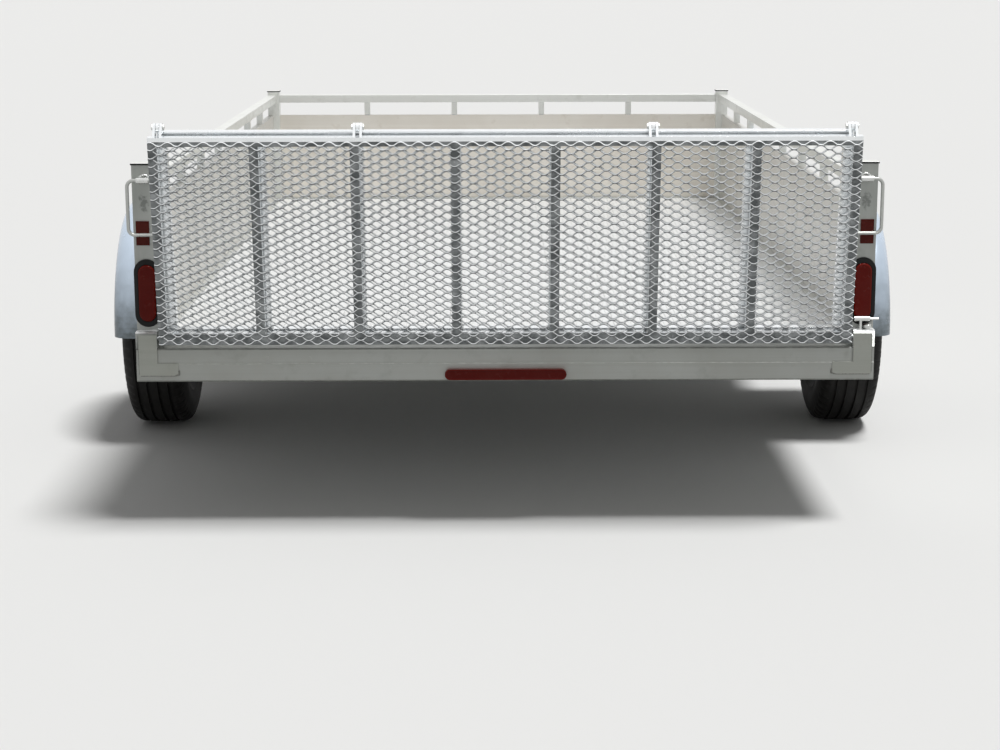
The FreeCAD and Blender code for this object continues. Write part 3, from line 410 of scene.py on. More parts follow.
class RubMark(Effect):
    """A small dark rub mark at one height, the same distance from the middle on both sides."""

    title = "rub_mark"
    inputs = (("Across", "NodeSocketFloat"), ("Height", "NodeSocketFloat"))
    half_width = 0.015
    half_height = 0.026

    def wire(self, graph: Graph, entry: Node) -> dict[str, Socket]:
        """Build the inside.

        Args:
            graph: the group's tree.
            entry: its input node.

        Returns:
            Mask.
        """
        where = graph.place()
        split = graph.add("ShaderNodeSeparateXYZ")
        graph.feed(split.inputs[0], where)
        outward = graph.math("ABSOLUTE", split.outputs["X"])
        squares = []
        for value, centre, half in ((outward, entry.outputs["Across"], self.half_width),
                                    (split.outputs["Z"], entry.outputs["Height"], self.half_height)):
            away = graph.math("ABSOLUTE", graph.math("DIVIDE", graph.math("SUBTRACT", value, centre), half))
            squares.append(graph.math("POWER", away, 2.0))
        ragged = graph.remap(graph.noise(where, scale=85.0, detail=4.0, rough=0.65), 0.3, 0.7, -0.9, 0.9)
        reach = graph.math("ADD", graph.math("ADD", *squares), ragged)
        return {"Mask": graph.remap(reach, 0.1, 1.0, 1.0, 0.0)}


class RoadDust(Effect):
    """Pale dust and splashes that fade with height above the ground."""

    title = "road_dust"
    inputs = (("Top", "NodeSocketFloat"), ("Amount", "NodeSocketFloat"))

    def wire(self, graph: Graph, entry: Node) -> dict[str, Socket]:
        """Build the inside.

        Args:
            graph: the group's tree.
            entry: its input node.

        Returns:
            Mask.
        """
        where = graph.place()
        split = graph.add("ShaderNodeSeparateXYZ")
        graph.feed(split.inputs[0], where)
        height = graph.math("DIVIDE", split.outputs["Z"], entry.outputs["Top"])
        low = graph.math("SUBTRACT", 1.0, height, clamp=True)
        speck = graph.remap(graph.noise(where, scale=38.0, detail=6.0, rough=0.7), 0.40, 0.66)
        veil = graph.remap(graph.noise(where, scale=5.0), 0.3, 0.7)
        both = graph.math("MULTIPLY", graph.math("ADD", speck, veil), 0.5)
        return {"Mask": graph.math("MULTIPLY", graph.math("MULTIPLY", low, both), entry.outputs["Amount"])}


class Spangle(Effect):
    """Zinc crystals of a galvanised or plated part."""

    title = "spangle"
    inputs = (("Size", "NodeSocketFloat"),)
    outputs = ("Shade",)

    def wire(self, graph: Graph, entry: Node) -> dict[str, Socket]:
        """Build the inside.

        Args:
            graph: the group's tree.
            entry: its input node.

        Returns:
            Shade.
        """
        cells = graph.add("ShaderNodeTexVoronoi")
        graph.feed(cells.inputs["Vector"], graph.place())
        graph.feed(cells.inputs["Scale"], entry.outputs["Size"])
        grey = graph.add("ShaderNodeSeparateColor")
        graph.feed(grey.inputs[0], cells.outputs["Color"])
        return {"Shade": grey.outputs[0]}


# Finishes


def start_material(name: str) -> tuple[Material, Graph, Node]:
    """A new material with its shader.

    Args:
        name: the material's name.

    Returns:
        The material, its tree and its shader node.
    """
    material = bpy.data.materials.new(name)
    material.use_nodes = True
    graph = Graph(material.node_tree)
    shader = graph.add("ShaderNodeBsdfPrincipled")
    graph.feed(graph.add("ShaderNodeOutputMaterial").inputs["Surface"], shader.outputs[0])
    return material, graph, shader


@dataclass(frozen=True)
class MetalFinish:
    """Bare, plated or painted metal with draw lines, stains, rubbed edges and dust, and painted highlight and
    painted shade on marked faces.

    Attributes:
        name: the material's name.
        colour: clean metal.
        stain: what the marks turn it to.
        metallic: how metallic it is.
        roughness: its roughness where clean.
        grain: the way in which its draw lines run.
        relief: how deep the draw lines are, in metres.
        relief_share: how much of that relief counts.
        streaking: how strong the streaks between the lines are.
        staining: how strong the marks are.
        mark_size: how many marks fit in a metre.
        dulling: how much rougher the marks make it.
        gloss: how much smoother the streaks make it.
        spangle: how strong its zinc crystals are.
        crystals: how many of them fit in a metre.
        wear_and_light: how strongly marked faces take the edge colour, for rubbed edges and, on some
            finishes, painted highlight and painted shade.
        wear_and_light_colour: the colour that they take.
        dust: how much dust lies on it low down.
        dust_top: the height in metres at which the dust ends.
        dust_colour: the dust's colour.
        dust_dulling: how much rougher the dust makes it.
        painted_shade: the colour of the painted shade that lies where faces are marked with it.
        painted_shade_metal: how much of the metallic look shows through that painted shade.
        rub: how far from the middle and how high a dark rub mark lies.
        rub_colour: that mark's colour.
        rub_share: how strong it is.
    """

    name: str
    colour: Colour
    stain: Colour
    metallic: float = 0.9
    roughness: float = 0.36
    grain: Grain = Grain.NONE
    relief: float = 0.00004
    relief_share: float = 0.6
    streaking: float = 0.22
    staining: float = 0.35
    mark_size: float = 2.5
    dulling: float = 0.16
    gloss: float = 0.06
    spangle: float = 0.0
    crystals: float = 90.0
    wear_and_light: float = 0.6
    wear_and_light_colour: Colour = (0.84, 0.85, 0.84)
    dust: float = 0.0
    dust_top: float = 0.75
    dust_colour: Colour = (0.42, 0.38, 0.32)
    dust_dulling: float = 0.4
    painted_shade: Colour | None = None
    painted_shade_metal: float = 0.15
    rub: tuple[float, float] | None = None
    rub_colour: Colour = (0.10, 0.11, 0.10)
    rub_share: float = 0.6

    def build(self) -> Material:
        """Make the material."""
        material, graph, shader = start_material(self.name)
        lines = graph.group(DrawLines(), Vector=graph.place(self.grain.value))
        marks = graph.group(Handling(), Size=self.mark_size).outputs["Mask"]
        colour = graph.blend(graph.math("MULTIPLY", marks, self.staining), self.colour, self.stain)
        between = graph.math("SUBTRACT", 1.0, lines.outputs["Streak"])
        colour = graph.blend(graph.math("MULTIPLY", between, self.streaking), colour, self.stain)
        rough = graph.math("ADD", graph.math("MULTIPLY", marks, self.dulling), self.roughness)
        rough = graph.math("ADD", graph.math("MULTIPLY", lines.outputs["Streak"], -self.gloss), rough)
        metal: Value = self.metallic
        if self.spangle:
            shade = graph.group(Spangle(), Size=self.crystals).outputs["Shade"]
            colour = graph.blend(graph.math("MULTIPLY", shade, self.spangle), colour, self.stain)
        # Painted shade: marked faces turn to the painted_shade colour and lose most of their metallic look.
        if self.painted_shade:
            shade_share = graph.group(PaintedShadeMask()).outputs["Mask"]
            colour = graph.blend(shade_share, colour, self.painted_shade)
            metal = graph.remap(shade_share, 0.0, 1.0, self.metallic, self.painted_shade_metal * self.metallic)
        if self.rub:
            mark = graph.group(RubMark(), Across=self.rub[0], Height=self.rub[1]).outputs["Mask"]
            colour = graph.blend(graph.math("MULTIPLY", mark, self.rub_share), colour, self.rub_colour)
        # Edge colour: rubbed edges, and on some finishes painted highlight and painted shade.
        edge = graph.group(EdgeWearAndLight(), Amount=self.wear_and_light).outputs["Mask"]
        colour = graph.blend(edge, colour, self.wear_and_light_colour)
        if self.dust:
            dust = graph.group(RoadDust(), Top=self.dust_top, Amount=self.dust).outputs["Mask"]
            colour = graph.blend(dust, colour, self.dust_colour)
            rough = graph.math("ADD", graph.math("MULTIPLY", dust, self.dust_dulling), rough, clamp=True)
            metal = graph.math("MULTIPLY", graph.math("SUBTRACT", 1.0, dust), self.metallic)
        graph.feed(shader.inputs["Metallic"], metal)
        graph.feed(shader.inputs["Base Color"], colour)
        graph.feed(shader.inputs["Roughness"], rough)
        graph.bump(shader, lines.outputs["Height"], self.relief_share, self.relief)
        return material


@dataclass(frozen=True)
class RubberFinish:
    """Black rubber with a dry bloom and dust.

    Attributes:
        name: the material's name.
        colour: clean rubber.
        bloom: its dry, greyed colour.
        bloom_share: how strong the bloom is.
        mark_size: how many of its clouds fit in a metre.
        roughness: its least and greatest roughness.
        gloss: how strong its plain reflection is.
        dust: how much dust lies on it.
        dust_top: the height in metres at which the dust ends.
        dust_colour: the dust's colour.
    """

    name: str
    colour: Colour = (0.004, 0.004, 0.0043)
    bloom: Colour = (0.012, 0.0118, 0.0115)
    bloom_share: float = 0.55
    mark_size: float = 6.0
    roughness: tuple[float, float] = (0.55, 0.78)
    gloss: float = 0.28
    dust: float = 0.0
    dust_top: float = 0.9
    dust_colour: Colour = (0.22, 0.20, 0.17)

    def build(self) -> Material:
        """Make the material."""
        material, graph, shader = start_material(self.name)
        marks = graph.group(Handling(), Size=self.mark_size)
        share = graph.math("MULTIPLY", marks.outputs["Mask"], self.bloom_share)
        colour = graph.blend(share, self.colour, self.bloom)
        if self.dust:
            dust = graph.group(RoadDust(), Top=self.dust_top, Amount=self.dust).outputs["Mask"]
            colour = graph.blend(dust, colour, self.dust_colour)
        graph.feed(shader.inputs["Base Color"], colour)
        graph.feed(shader.inputs["Roughness"], graph.remap(marks.outputs["Cloud"], 0.3, 0.7, *self.roughness))
        graph.feed(shader.inputs["Specular IOR Level"], self.gloss)
        pores = graph.noise(graph.place(), scale=420.0, rough=0.6)
        graph.bump(shader, pores, strength=0.35, distance=0.0004)
        return material


@dataclass(frozen=True)
class LensFinish:
    """Coloured lens: clear glossy skin over a moulded prism pattern.

    Attributes:
        name: the material's name.
        colour: the lens where it is thin.
        deep: the lens in its prisms' valleys.
        pitch: how many prisms fit in a metre.
        scuff: the colour of its scratches.
        scuffing: how strong they are.
        roughness: its roughness where clean and where scratched.
        gloss: how strong its plain reflection is.
        coat: how strong its skin's is.
        coat_roughness: how rough its skin is.
    """

    name: str
    colour: Colour
    deep: Colour
    pitch: float
    scuff: Colour = (0.30, 0.22, 0.20)
    scuffing: float = 0.06
    roughness: tuple[float, float] = (0.16, 0.34)
    gloss: float = 0.08
    coat: float = 0.04
    coat_roughness: float = 0.08

    def build(self) -> Material:
        """Make the material."""
        material, graph, shader = start_material(self.name)
        cells = graph.add("ShaderNodeTexVoronoi", feature="F1", distance="CHEBYCHEV")
        graph.feed(cells.inputs["Vector"], graph.place())
        graph.feed(cells.inputs["Scale"], self.pitch)
        graph.feed(cells.inputs["Randomness"], 0.0)
        marks = graph.group(Handling(), Size=9.0).outputs["Mask"]
        valley = graph.remap(cells.outputs["Distance"], 0.15, 0.5)
        colour = graph.blend(valley, self.colour, self.deep)
        colour = graph.blend(graph.math("MULTIPLY", marks, self.scuffing), colour, self.scuff)
        graph.feed(shader.inputs["Base Color"], colour)
        graph.feed(shader.inputs["Roughness"], graph.remap(marks, 0.0, 1.0, *self.roughness))
        graph.feed(shader.inputs["Specular IOR Level"], self.gloss)
        graph.feed(shader.inputs["Coat Weight"], self.coat)
        graph.feed(shader.inputs["Coat Roughness"], self.coat_roughness)
        graph.bump(shader, cells.outputs["Distance"], strength=0.25, distance=0.0006)
        return material


class Finishes:
    """All of the trailer's materials, each built once."""

    def __init__(self) -> None:
        """Build the materials."""
        # Painted shade: the same aluminium as the rails, set darker for the rear sill, posts, feet, plates
        # and lower frame, which stand in shade.
        shaded_mill = MetalFinish("shaded_mill_aluminium_across", (0.46, 0.475, 0.455), (0.30, 0.31, 0.28), metallic=0.35,
                           roughness=0.42, grain=Grain.ALONG_X, dust=0.4, wear_and_light=0.4, wear_and_light_colour=(0.52, 0.53, 0.51))
        self.shaded_mill_x = shaded_mill.build()
        self.shaded_mill_z = replace(shaded_mill, name="shaded_mill_aluminium_upright", grain=Grain.ALONG_Z, dust=0.0, wear_and_light=0.5,
                              rub=self.rub_place()).build()
        # Painted shade: the rear sill's marked sloped steps turn darker.
        self.sill_x = replace(shaded_mill, name="rear_sill_face", wear_and_light=1.2, wear_and_light_colour=(0.30, 0.31, 0.29)).build()
        # Painted highlight: the feet's tops and rear slopes turn near white.
        self.foot = replace(shaded_mill, name="foot_plate", colour=(0.43, 0.445, 0.42), roughness=0.40,
                            grain=Grain.ALONG_Z, dust=0.0, wear_and_light=1.6, wear_and_light_colour=(0.96, 0.97, 0.97)).build()
        self.plate = replace(shaded_mill, name="corner_plate", colour=(0.42, 0.435, 0.40), stain=(0.28, 0.29, 0.25),
                             roughness=0.44, wear_and_light=0.2).build()
        rail = MetalFinish("rail_across", (0.84, 0.85, 0.82), (0.52, 0.52, 0.48), metallic=0.5,
                           grain=Grain.ALONG_X)
        self.rail_x = rail.build()
        self.rail_y = replace(rail, name="rail_lengthwise", grain=Grain.ALONG_Y).build()
        self.rail_z = replace(rail, name="rail_upright", grain=Grain.ALONG_Z).build()
        box_tube = MetalFinish("side_sill", (0.60, 0.61, 0.59), (0.42, 0.42, 0.38), metallic=0.45,
                               grain=Grain.ALONG_Y, dust=0.5)
        self.sill_y = box_tube.build()
        self.tongue = replace(box_tube, name="tongue_tube", dust=0.4).build()
        # Painted shade: the walls' edge colour darkens the rounded faces along the plank grooves.
        self.wall_x = MetalFinish("wall_planks_across", (0.90, 0.865, 0.80), (0.66, 0.60, 0.52), metallic=0.4,
                                  grain=Grain.ALONG_X, staining=0.5, roughness=0.42, wear_and_light=0.3,
                                  wear_and_light_colour=(0.86, 0.84, 0.80)).build()
        self.wall_y = MetalFinish("wall_planks_lengthwise", (0.72, 0.71, 0.68), (0.52, 0.50, 0.46),
                                  metallic=0.5, grain=Grain.ALONG_Y, staining=0.4, roughness=0.4, wear_and_light=0.9,
                                  wear_and_light_colour=(0.40, 0.395, 0.38)).build()
        self.deck = MetalFinish("deck_planks", (0.85, 0.86, 0.86), (0.66, 0.65, 0.63), grain=Grain.ALONG_Y,
                                roughness=0.42, metallic=0.35, staining=0.5).build()
        # The gate tubes' painted_shade colour paints the shade that the mesh sheet casts on the faces behind
        # it.
        self.tube = MetalFinish("gate_tube", (0.93, 0.955, 0.97), (0.74, 0.76, 0.78), grain=Grain.ALONG_X,
                                roughness=0.24, wear_and_light=0.8, wear_and_light_colour=(0.98, 0.99, 1.0),
                                painted_shade=(0.155, 0.170, 0.175)).build()
        # The dark base colour is painted shade of the sheet; the near-white edge colour paints the highlight
        # on the strands' upper edges.
        self.mesh = MetalFinish("expanded_mesh", (0.27, 0.282, 0.29), (0.18, 0.188, 0.192), metallic=0.4,
                                roughness=0.4, staining=0.5, mark_size=6.0, wear_and_light=2.4,
                                wear_and_light_colour=(0.95, 0.97, 0.98)).build()
        # The blue tint is a painted reflection of the sky; the painted_shade colour darkens the fenders low
        # down as painted shade.
        self.fender = MetalFinish("polished_sheet", (0.62, 0.72, 0.85), (0.52, 0.60, 0.70), roughness=0.18,
                                  relief=0.00001, staining=0.12, mark_size=1.6, metallic=0.55,
                                  painted_shade=(0.12, 0.145, 0.15)).build()
        self.weld = MetalFinish("weld_metal", (0.66, 0.67, 0.66), (0.34, 0.34, 0.33), metallic=0.5,
                                roughness=0.38, staining=0.7, mark_size=30.0).build()
        # Darker weld metal for the beads along the corner plates.
        self.dark_weld = MetalFinish("dark_weld_metal", (0.24, 0.24, 0.22), (0.07, 0.07, 0.065), metallic=0.4,
                                     roughness=0.4, staining=0.9, mark_size=34.0).build()
        self.rod = MetalFinish("latch_rod", (0.56, 0.57, 0.55), (0.36, 0.37, 0.35), metallic=0.6,
                               roughness=0.3, staining=0.6, mark_size=14.0).build()
        self.zinc = MetalFinish("zinc_plate", (0.66, 0.67, 0.66), (0.45, 0.45, 0.42), roughness=0.28,
                                spangle=0.06, relief=0.000006, mark_size=9.0).build()
        self.hub = MetalFinish("hub_metal", (0.30, 0.305, 0.31), (0.17, 0.17, 0.165), roughness=0.3,
                               dust=0.3, mark_size=12.0, wear_and_light=0.8).build()
        self.galvanised = MetalFinish("galvanised", (0.46, 0.47, 0.48), (0.30, 0.31, 0.32), roughness=0.45,
                                      spangle=0.45, dust=0.6, metallic=0.8).build()
        self.rim = MetalFinish("silver_paint", (0.62, 0.63, 0.64), (0.42, 0.41, 0.40), metallic=0.55,
                               roughness=0.34, dust=0.4, mark_size=8.0).build()
        # The tyre rubber and its bloom are set darker than rubber is: partly painted shade of the tyres under
        # the trailer.
        self.tyre = RubberFinish("tyre_rubber", dust=0.08).build()
        self.rubber = RubberFinish("moulded_rubber", (0.004, 0.004, 0.004), (0.010, 0.010, 0.010)).build()
        self.red = LensFinish("red_lens", (0.22, 0.008, 0.002), (0.13, 0.004, 0.001), 210.0).build()
        self.reflector = LensFinish("red_reflector", (0.14, 0.010, 0.004), (0.07, 0.004, 0.002),
                                    330.0).build()
        self.amber = LensFinish("amber_lens", (0.70, 0.22, 0.015), (0.38, 0.10, 0.008), 210.0).build()

    def rub_place(self) -> tuple[float, float]:
        """Where the rear posts are rubbed: about halfway from latch to reflector.

        Returns:
            How far from the trailer's middle and how high.
        """
        post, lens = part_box("rear_post_right"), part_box("reflectors")
        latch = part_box("latch_sleeves")[1].z
        return (post[0].x + post[1].x) / 2 + 7 * MM, 0.55 * latch + 0.45 * (lens[0].z + lens[1].z) / 2


# Shapes


def merged_copy(*nodes: str) -> Mesh:
    """A copy of frame nodes as one mesh with whole faces.

    Args:
        nodes: the nodes' names.

    Returns:
        The mesh, its triangles merged into flat faces.
    """
    shape = bmesh.new()
    for node in nodes:
        shape.from_mesh(frame["nodes"][node].data)
    bmesh.ops.remove_doubles(shape, verts=shape.verts, dist=0.01 * MM)
    bmesh.ops.dissolve_limit(shape, angle_limit=math.radians(0.4), verts=shape.verts, edges=shape.edges)
    return shape


def whole(shape: Mesh) -> list:
    """All of a mesh's vertices, edges and faces."""
    return shape.verts[:] + shape.edges[:] + shape.faces[:]


def face_layer(shape: Mesh, name: str) -> Layer:
    """A mesh's face attribute of that name, made if it isn't there."""
    return shape.faces.layers.float.get(name) or shape.faces.layers.float.new(name)


def mark(faces: Iterable[bmesh.types.BMFace], layer: Layer, amount: float = 1.0) -> None:
    """Write an amount into a face attribute.

    Args:
        faces: the faces to mark.
        layer: the attribute.
        amount: the value.
    """
    for face in faces:
        face[layer] = amount


def bevel(shape: Mesh, edges: list[bmesh.types.BMEdge], width: float,
          segments: int = 2) -> list[bmesh.types.BMFace]:
    """Round or slope edges.

    Args:
        shape: the mesh.
        edges: its edges to work on.
        width: the bevel's width in metres.
        segments: its steps.

    Returns:
        The new faces.
    """
    return bmesh.ops.bevel(shape, geom=edges, offset=width, offset_type="OFFSET", affect="EDGES",
                           segments=segments, profile=0.5, material=-1, clamp_overlap=True)["faces"]


def round_edges(shape: Mesh, width: float, segments: int = 2, angle: float = 35.0) -> None:
    """Round every sharp edge and mark what comes of it as edge.

    Args:
        shape: the mesh.
        width: the rounding's width in metres.
        segments: its steps.
        angle: the least angle in degrees that counts as sharp.
    """
    layer = face_layer(shape, "edge")
    limit = math.radians(angle)
    sharp = [e for e in shape.edges if e.is_manifold and e.calc_face_angle(0.0) > limit]
    mark(bevel(shape, sharp, width, segments), layer)


def repeat(shape: Mesh, count: int, step: tuple[float, float, float]) -> None:
    """Set copies of a mesh beside it in even steps.

    Args:
        shape: the mesh, which grows.
        count: how many there are in the end.
        step: the way from one to the next.
    """
    first = whole(shape)
    for index in range(1, count):
        copy = bmesh.ops.duplicate(shape, geom=first)
        verts = [v for v in copy["geom"] if isinstance(v, bmesh.types.BMVert)]
        bmesh.ops.translate(shape, verts=verts, vec=tuple(length * index for length in step))


def aim(axis: Vector) -> Matrix:
    """The turn that takes Z to an axis."""
    return UP.rotation_difference(axis.normalized()).to_matrix().to_4x4()


def join(target: Mesh, part: Mesh, place: Vector, axis: Vector) -> None:
    """Add a part made about Z to a mesh.

    Args:
        target: the mesh to add to.
        part: the part's mesh, which is used up.
        place: where its origin goes.
        axis: which way its Z goes.
    """
    bmesh.ops.transform(part, verts=part.verts, matrix=Matrix.Translation(place) @ aim(axis))
    mesh = bpy.data.meshes.new("part")
    part.to_mesh(mesh)
    part.free()
    target.from_mesh(mesh)
    bpy.data.meshes.remove(mesh)


def rod(shape: Mesh, start: Vector, end: Vector, radius: float, sides: int = 16,
        easing: float = 0.0) -> None:
    """A round bar between two points.

    Args:
        shape: the mesh to add to.
        start: one end's centre.
        end: the other end's centre.
        radius: the bar's radius.
        sides: how many sides it has; six makes a hexagon.
        easing: how much its end edges are rounded.
    """
    bar = bmesh.new()
    length = (end - start).length
    bmesh.ops.create_cone(bar, cap_ends=True, segments=sides, radius1=radius, radius2=radius, depth=length)
    if easing:
        rims = [e for e in bar.edges if abs(e.verts[0].co.z - e.verts[1].co.z) < 1e-7]
        bevel(bar, rims, easing)
    join(shape, bar, (start + end) / 2, end - start)


def block(shape: Mesh, low: Vector, high: Vector) -> None:
    """A plain block between two corners, to be cut and rounded further.

    Args:
        shape: the mesh to add to.
        low: the lowest corner.
        high: the highest corner.
    """
    move = Matrix.Translation((low + high) / 2) @ Matrix.Diagonal((*(high - low), 1.0))
    bmesh.ops.create_cube(shape, size=1.0, matrix=move)


def spun(section: Points, steps: int = 24) -> Mesh:
    """A turned part: a section spun about Z.

    Args:
        section: its (radius, height) points in millimetres, from one end to the other.
        steps: how many steps go round.

    Returns:
        Its mesh.
    """
    shape = bmesh.new()
    chain = [shape.verts.new((radius * MM, 0, height * MM)) for radius, height in section]
    edges = [shape.edges.new(pair) for pair in zip(chain, chain[1:])]
    bmesh.ops.spin(shape, geom=chain + edges, cent=(0, 0, 0), axis=UP, dvec=(0, 0, 0),
                   angle=math.tau, steps=steps, use_merge=True, use_duplicate=False)
    bmesh.ops.remove_doubles(shape, verts=shape.verts, dist=0.002 * MM)
    bmesh.ops.recalc_face_normals(shape, faces=shape.faces)
    return shape


class Stamp:
    """A small part, made once and set down many times."""

    def __init__(self, shape: Mesh) -> None:
        """Keep the part.

        Args:
            shape: its mesh about Z, which is used up.
        """
        self.mesh = bpy.data.meshes.new("stamp")
        shape.to_mesh(self.mesh)
        shape.free()

    def put(self, target: Mesh, place: Vector, axis: Vector, twist: float = 0.0) -> None:
        """Set one down.

        Args:
            target: the mesh to add to.
            place: where its origin goes.
            axis: which way its Z goes.
            twist: its turn about that axis, in degrees.
        """
        count = len(target.verts)
        target.from_mesh(self.mesh)
        target.verts.ensure_lookup_table()
        move = Matrix.Translation(place) @ aim(axis) @ Matrix.Rotation(math.radians(twist), 4, "Z")
        bmesh.ops.transform(target, verts=target.verts[count:], matrix=move)


def hex_bolt(radius: float, height: float, washer: float, thread: float = 0.0) -> Stamp:
    """A hexagon head on its washer, with or without a thread's end beyond it, in millimetres.

    Args:
        radius: the head's radius at its corners.
        height: the head's height.
        washer: the washer's radius.
        thread: how far a thread sticks out beyond, which makes it a nut.

    Returns:
        The part, seated at its origin.
    """
    sheet = 1.5
    shape = spun(((0, 0), (washer, 0), (washer, sheet * 0.7), (washer - 0.4, sheet), (0, sheet)), 20)
    seat = UP * sheet * MM
    rod(shape, seat, seat + UP * height * MM, radius * MM, 6, 0.6 * MM)
    if thread:
        rod(shape, seat, seat + UP * (height + thread) * MM, radius * 0.55 * MM, 12, 0.5 * MM)
    return Stamp(shape)


def weld_bead(target: Mesh, start: Vector, end: Vector, radius: float) -> None:
    """A rippled weld bead along a joint.

    Args:
        target: the mesh to add to.
        start: the joint's start.
        end: the joint's end.
        radius: the bead's radius.
    """
    shape = bmesh.new()
    length = (end - start).length
    rings = max(3, round(length / WELD_STEP))
    bmesh.ops.create_cone(shape, cap_ends=True, segments=8, radius1=radius, radius2=radius, depth=length)
    sides = [e for e in shape.edges if abs(e.verts[0].co.z - e.verts[1].co.z) > length / 2]
    bmesh.ops.subdivide_edges(shape, edges=sides, cuts=rings - 1, use_grid_fill=True)
    for vert in shape.verts:
        step = (vert.co.z + length / 2) / length * rings
        ripple = 1.0 - 0.16 * (round(step) % 2) - 0.10 * math.sin(step * 1.7)
        if step < 0.5 or step > rings - 0.5:
            ripple = 0.55
        vert.co.x *= ripple
        vert.co.y *= ripple
    join(target, shape, (start + end) / 2, end - start)


def spans(node: str, axis: int, gap: float = 0.1) -> list[tuple[float, float]]:
    """Where a node's separate bodies lie along one axis.

    Args:
        node: the frame node.
        axis: 0, 1 or 2.
        gap: the least distance that parts two bodies.

    Returns:
        Their low and high ends, in order.
    """
    values = sorted(v.co[axis] for v in frame["nodes"][node].data.vertices)
    found = [[values[0], values[0]]]
    for value in values:
        if value - found[-1][1] > gap:
            found.append([value, value])
        found[-1][1] = value
    return [(low, high) for low, high in found]


def finish_piece(name: str, shape: Mesh, material: Material, body: Body,
                 replaces: tuple[str, ...] = (), smooth: float = 32.0, weighted: bool = False) -> None:
    """Turn a mesh into a piece that rides on its body.

    Args:
        name: the piece's name.
        shape: its mesh, which is used up.
        material: its finish.
        body: what it rides on.
        replaces: the frame nodes that it stands for.
        smooth: edges flatter than this many degrees are shaded smooth.
        weighted: whether large faces keep their shading flat.
    """
    mesh = bpy.data.meshes.new(name)
    shape.to_mesh(mesh)
    shape.free()
    for polygon in mesh.polygons:
        polygon.use_smooth = True
    mesh.set_sharp_from_angle(angle=math.radians(smooth))
    mesh.materials.append(material)
    piece = bpy.data.objects.new(name, mesh)
    bpy.context.scene.collection.objects.link(piece)
    if weighted:
        modifier = piece.modifiers.new("flat faces", "WEIGHTED_NORMAL")
        modifier.keep_sharp = True
    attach(piece, body.value)
    if replaces:
        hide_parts(*replaces)
    log.info("%s: %d faces on %s", name, len(mesh.polygons), body.value)


@dataclass(frozen=True)
class Skin:
    """How frame nodes are dressed as one piece with rounded edges.

    Attributes:
        name: the piece's name.
        nodes: the nodes that it stands for.
        finish: its material.
        width: how wide its edges are rounded, in millimetres.
        slot: the record's material slot; not used.
        body: what it rides on.
        prepare: what is done to its mesh first.
    """

    name: str
    nodes: tuple[str, ...]
    finish: Material
    width: float
    slot: Slot = Slot.FRAME
    body: Body = Body.CHASSIS
    prepare: Callable[[Mesh], None] | None = None

    def build(self) -> None:
        """Dress the nodes."""
        shape = merged_copy(*self.nodes)
        if self.prepare:
            self.prepare(shape)
        if self.width:
            round_edges(shape, self.width * MM)
        finish_piece(self.name, shape, self.finish, self.body, self.nodes, weighted=True)


# Camera and studio


@dataclass
class Viewpoint:
    """The camera behind the trailer.

    Attributes:
        offset: its place from the middle of the rear sill's rear face at ground level.
        pitch: how far it looks down, in degrees.
        yaw: how far it looks to the right.
        roll: how far it leans.
        lens: its focal length in millimetres.
        sensor: its sensor's width in millimetres.
        far: how far it sees.
    """

    offset: tuple[float, float, float] = (-0.0519, -5.5668, 1.5897)
    pitch: float = -11.707
    yaw: float = 0.371
    roll: float = -0.109
    lens: float = 72.70
    sensor: float = 36.0
    far: float = 400.0

    def build(self) -> None:
        """Place the camera."""
        pitch, yaw, roll = (math.radians(v) for v in (self.pitch, self.yaw, self.roll))
        ahead = Vector((math.sin(yaw) * math.cos(pitch), math.cos(yaw) * math.cos(pitch), math.sin(pitch)))
        level = ahead.cross(UP).normalized()
        upright = level.cross(ahead)
        right = level * math.cos(roll) + upright * math.sin(roll)
        up = right.cross(ahead)
        data = bpy.data.cameras.new("camera")
        data.lens = self.lens
        data.sensor_width = self.sensor
        data.clip_end = self.far
        camera = bpy.data.objects.new("camera", data)
        bpy.context.scene.collection.objects.link(camera)
        rear = Vector((0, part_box("rear_sill")[0].y, 0))
        turn = Matrix((right, up, -ahead)).transposed().to_4x4()
        camera.matrix_world = Matrix.Translation(rear + Vector(self.offset)) @ turn
        bpy.context.scene.camera = camera


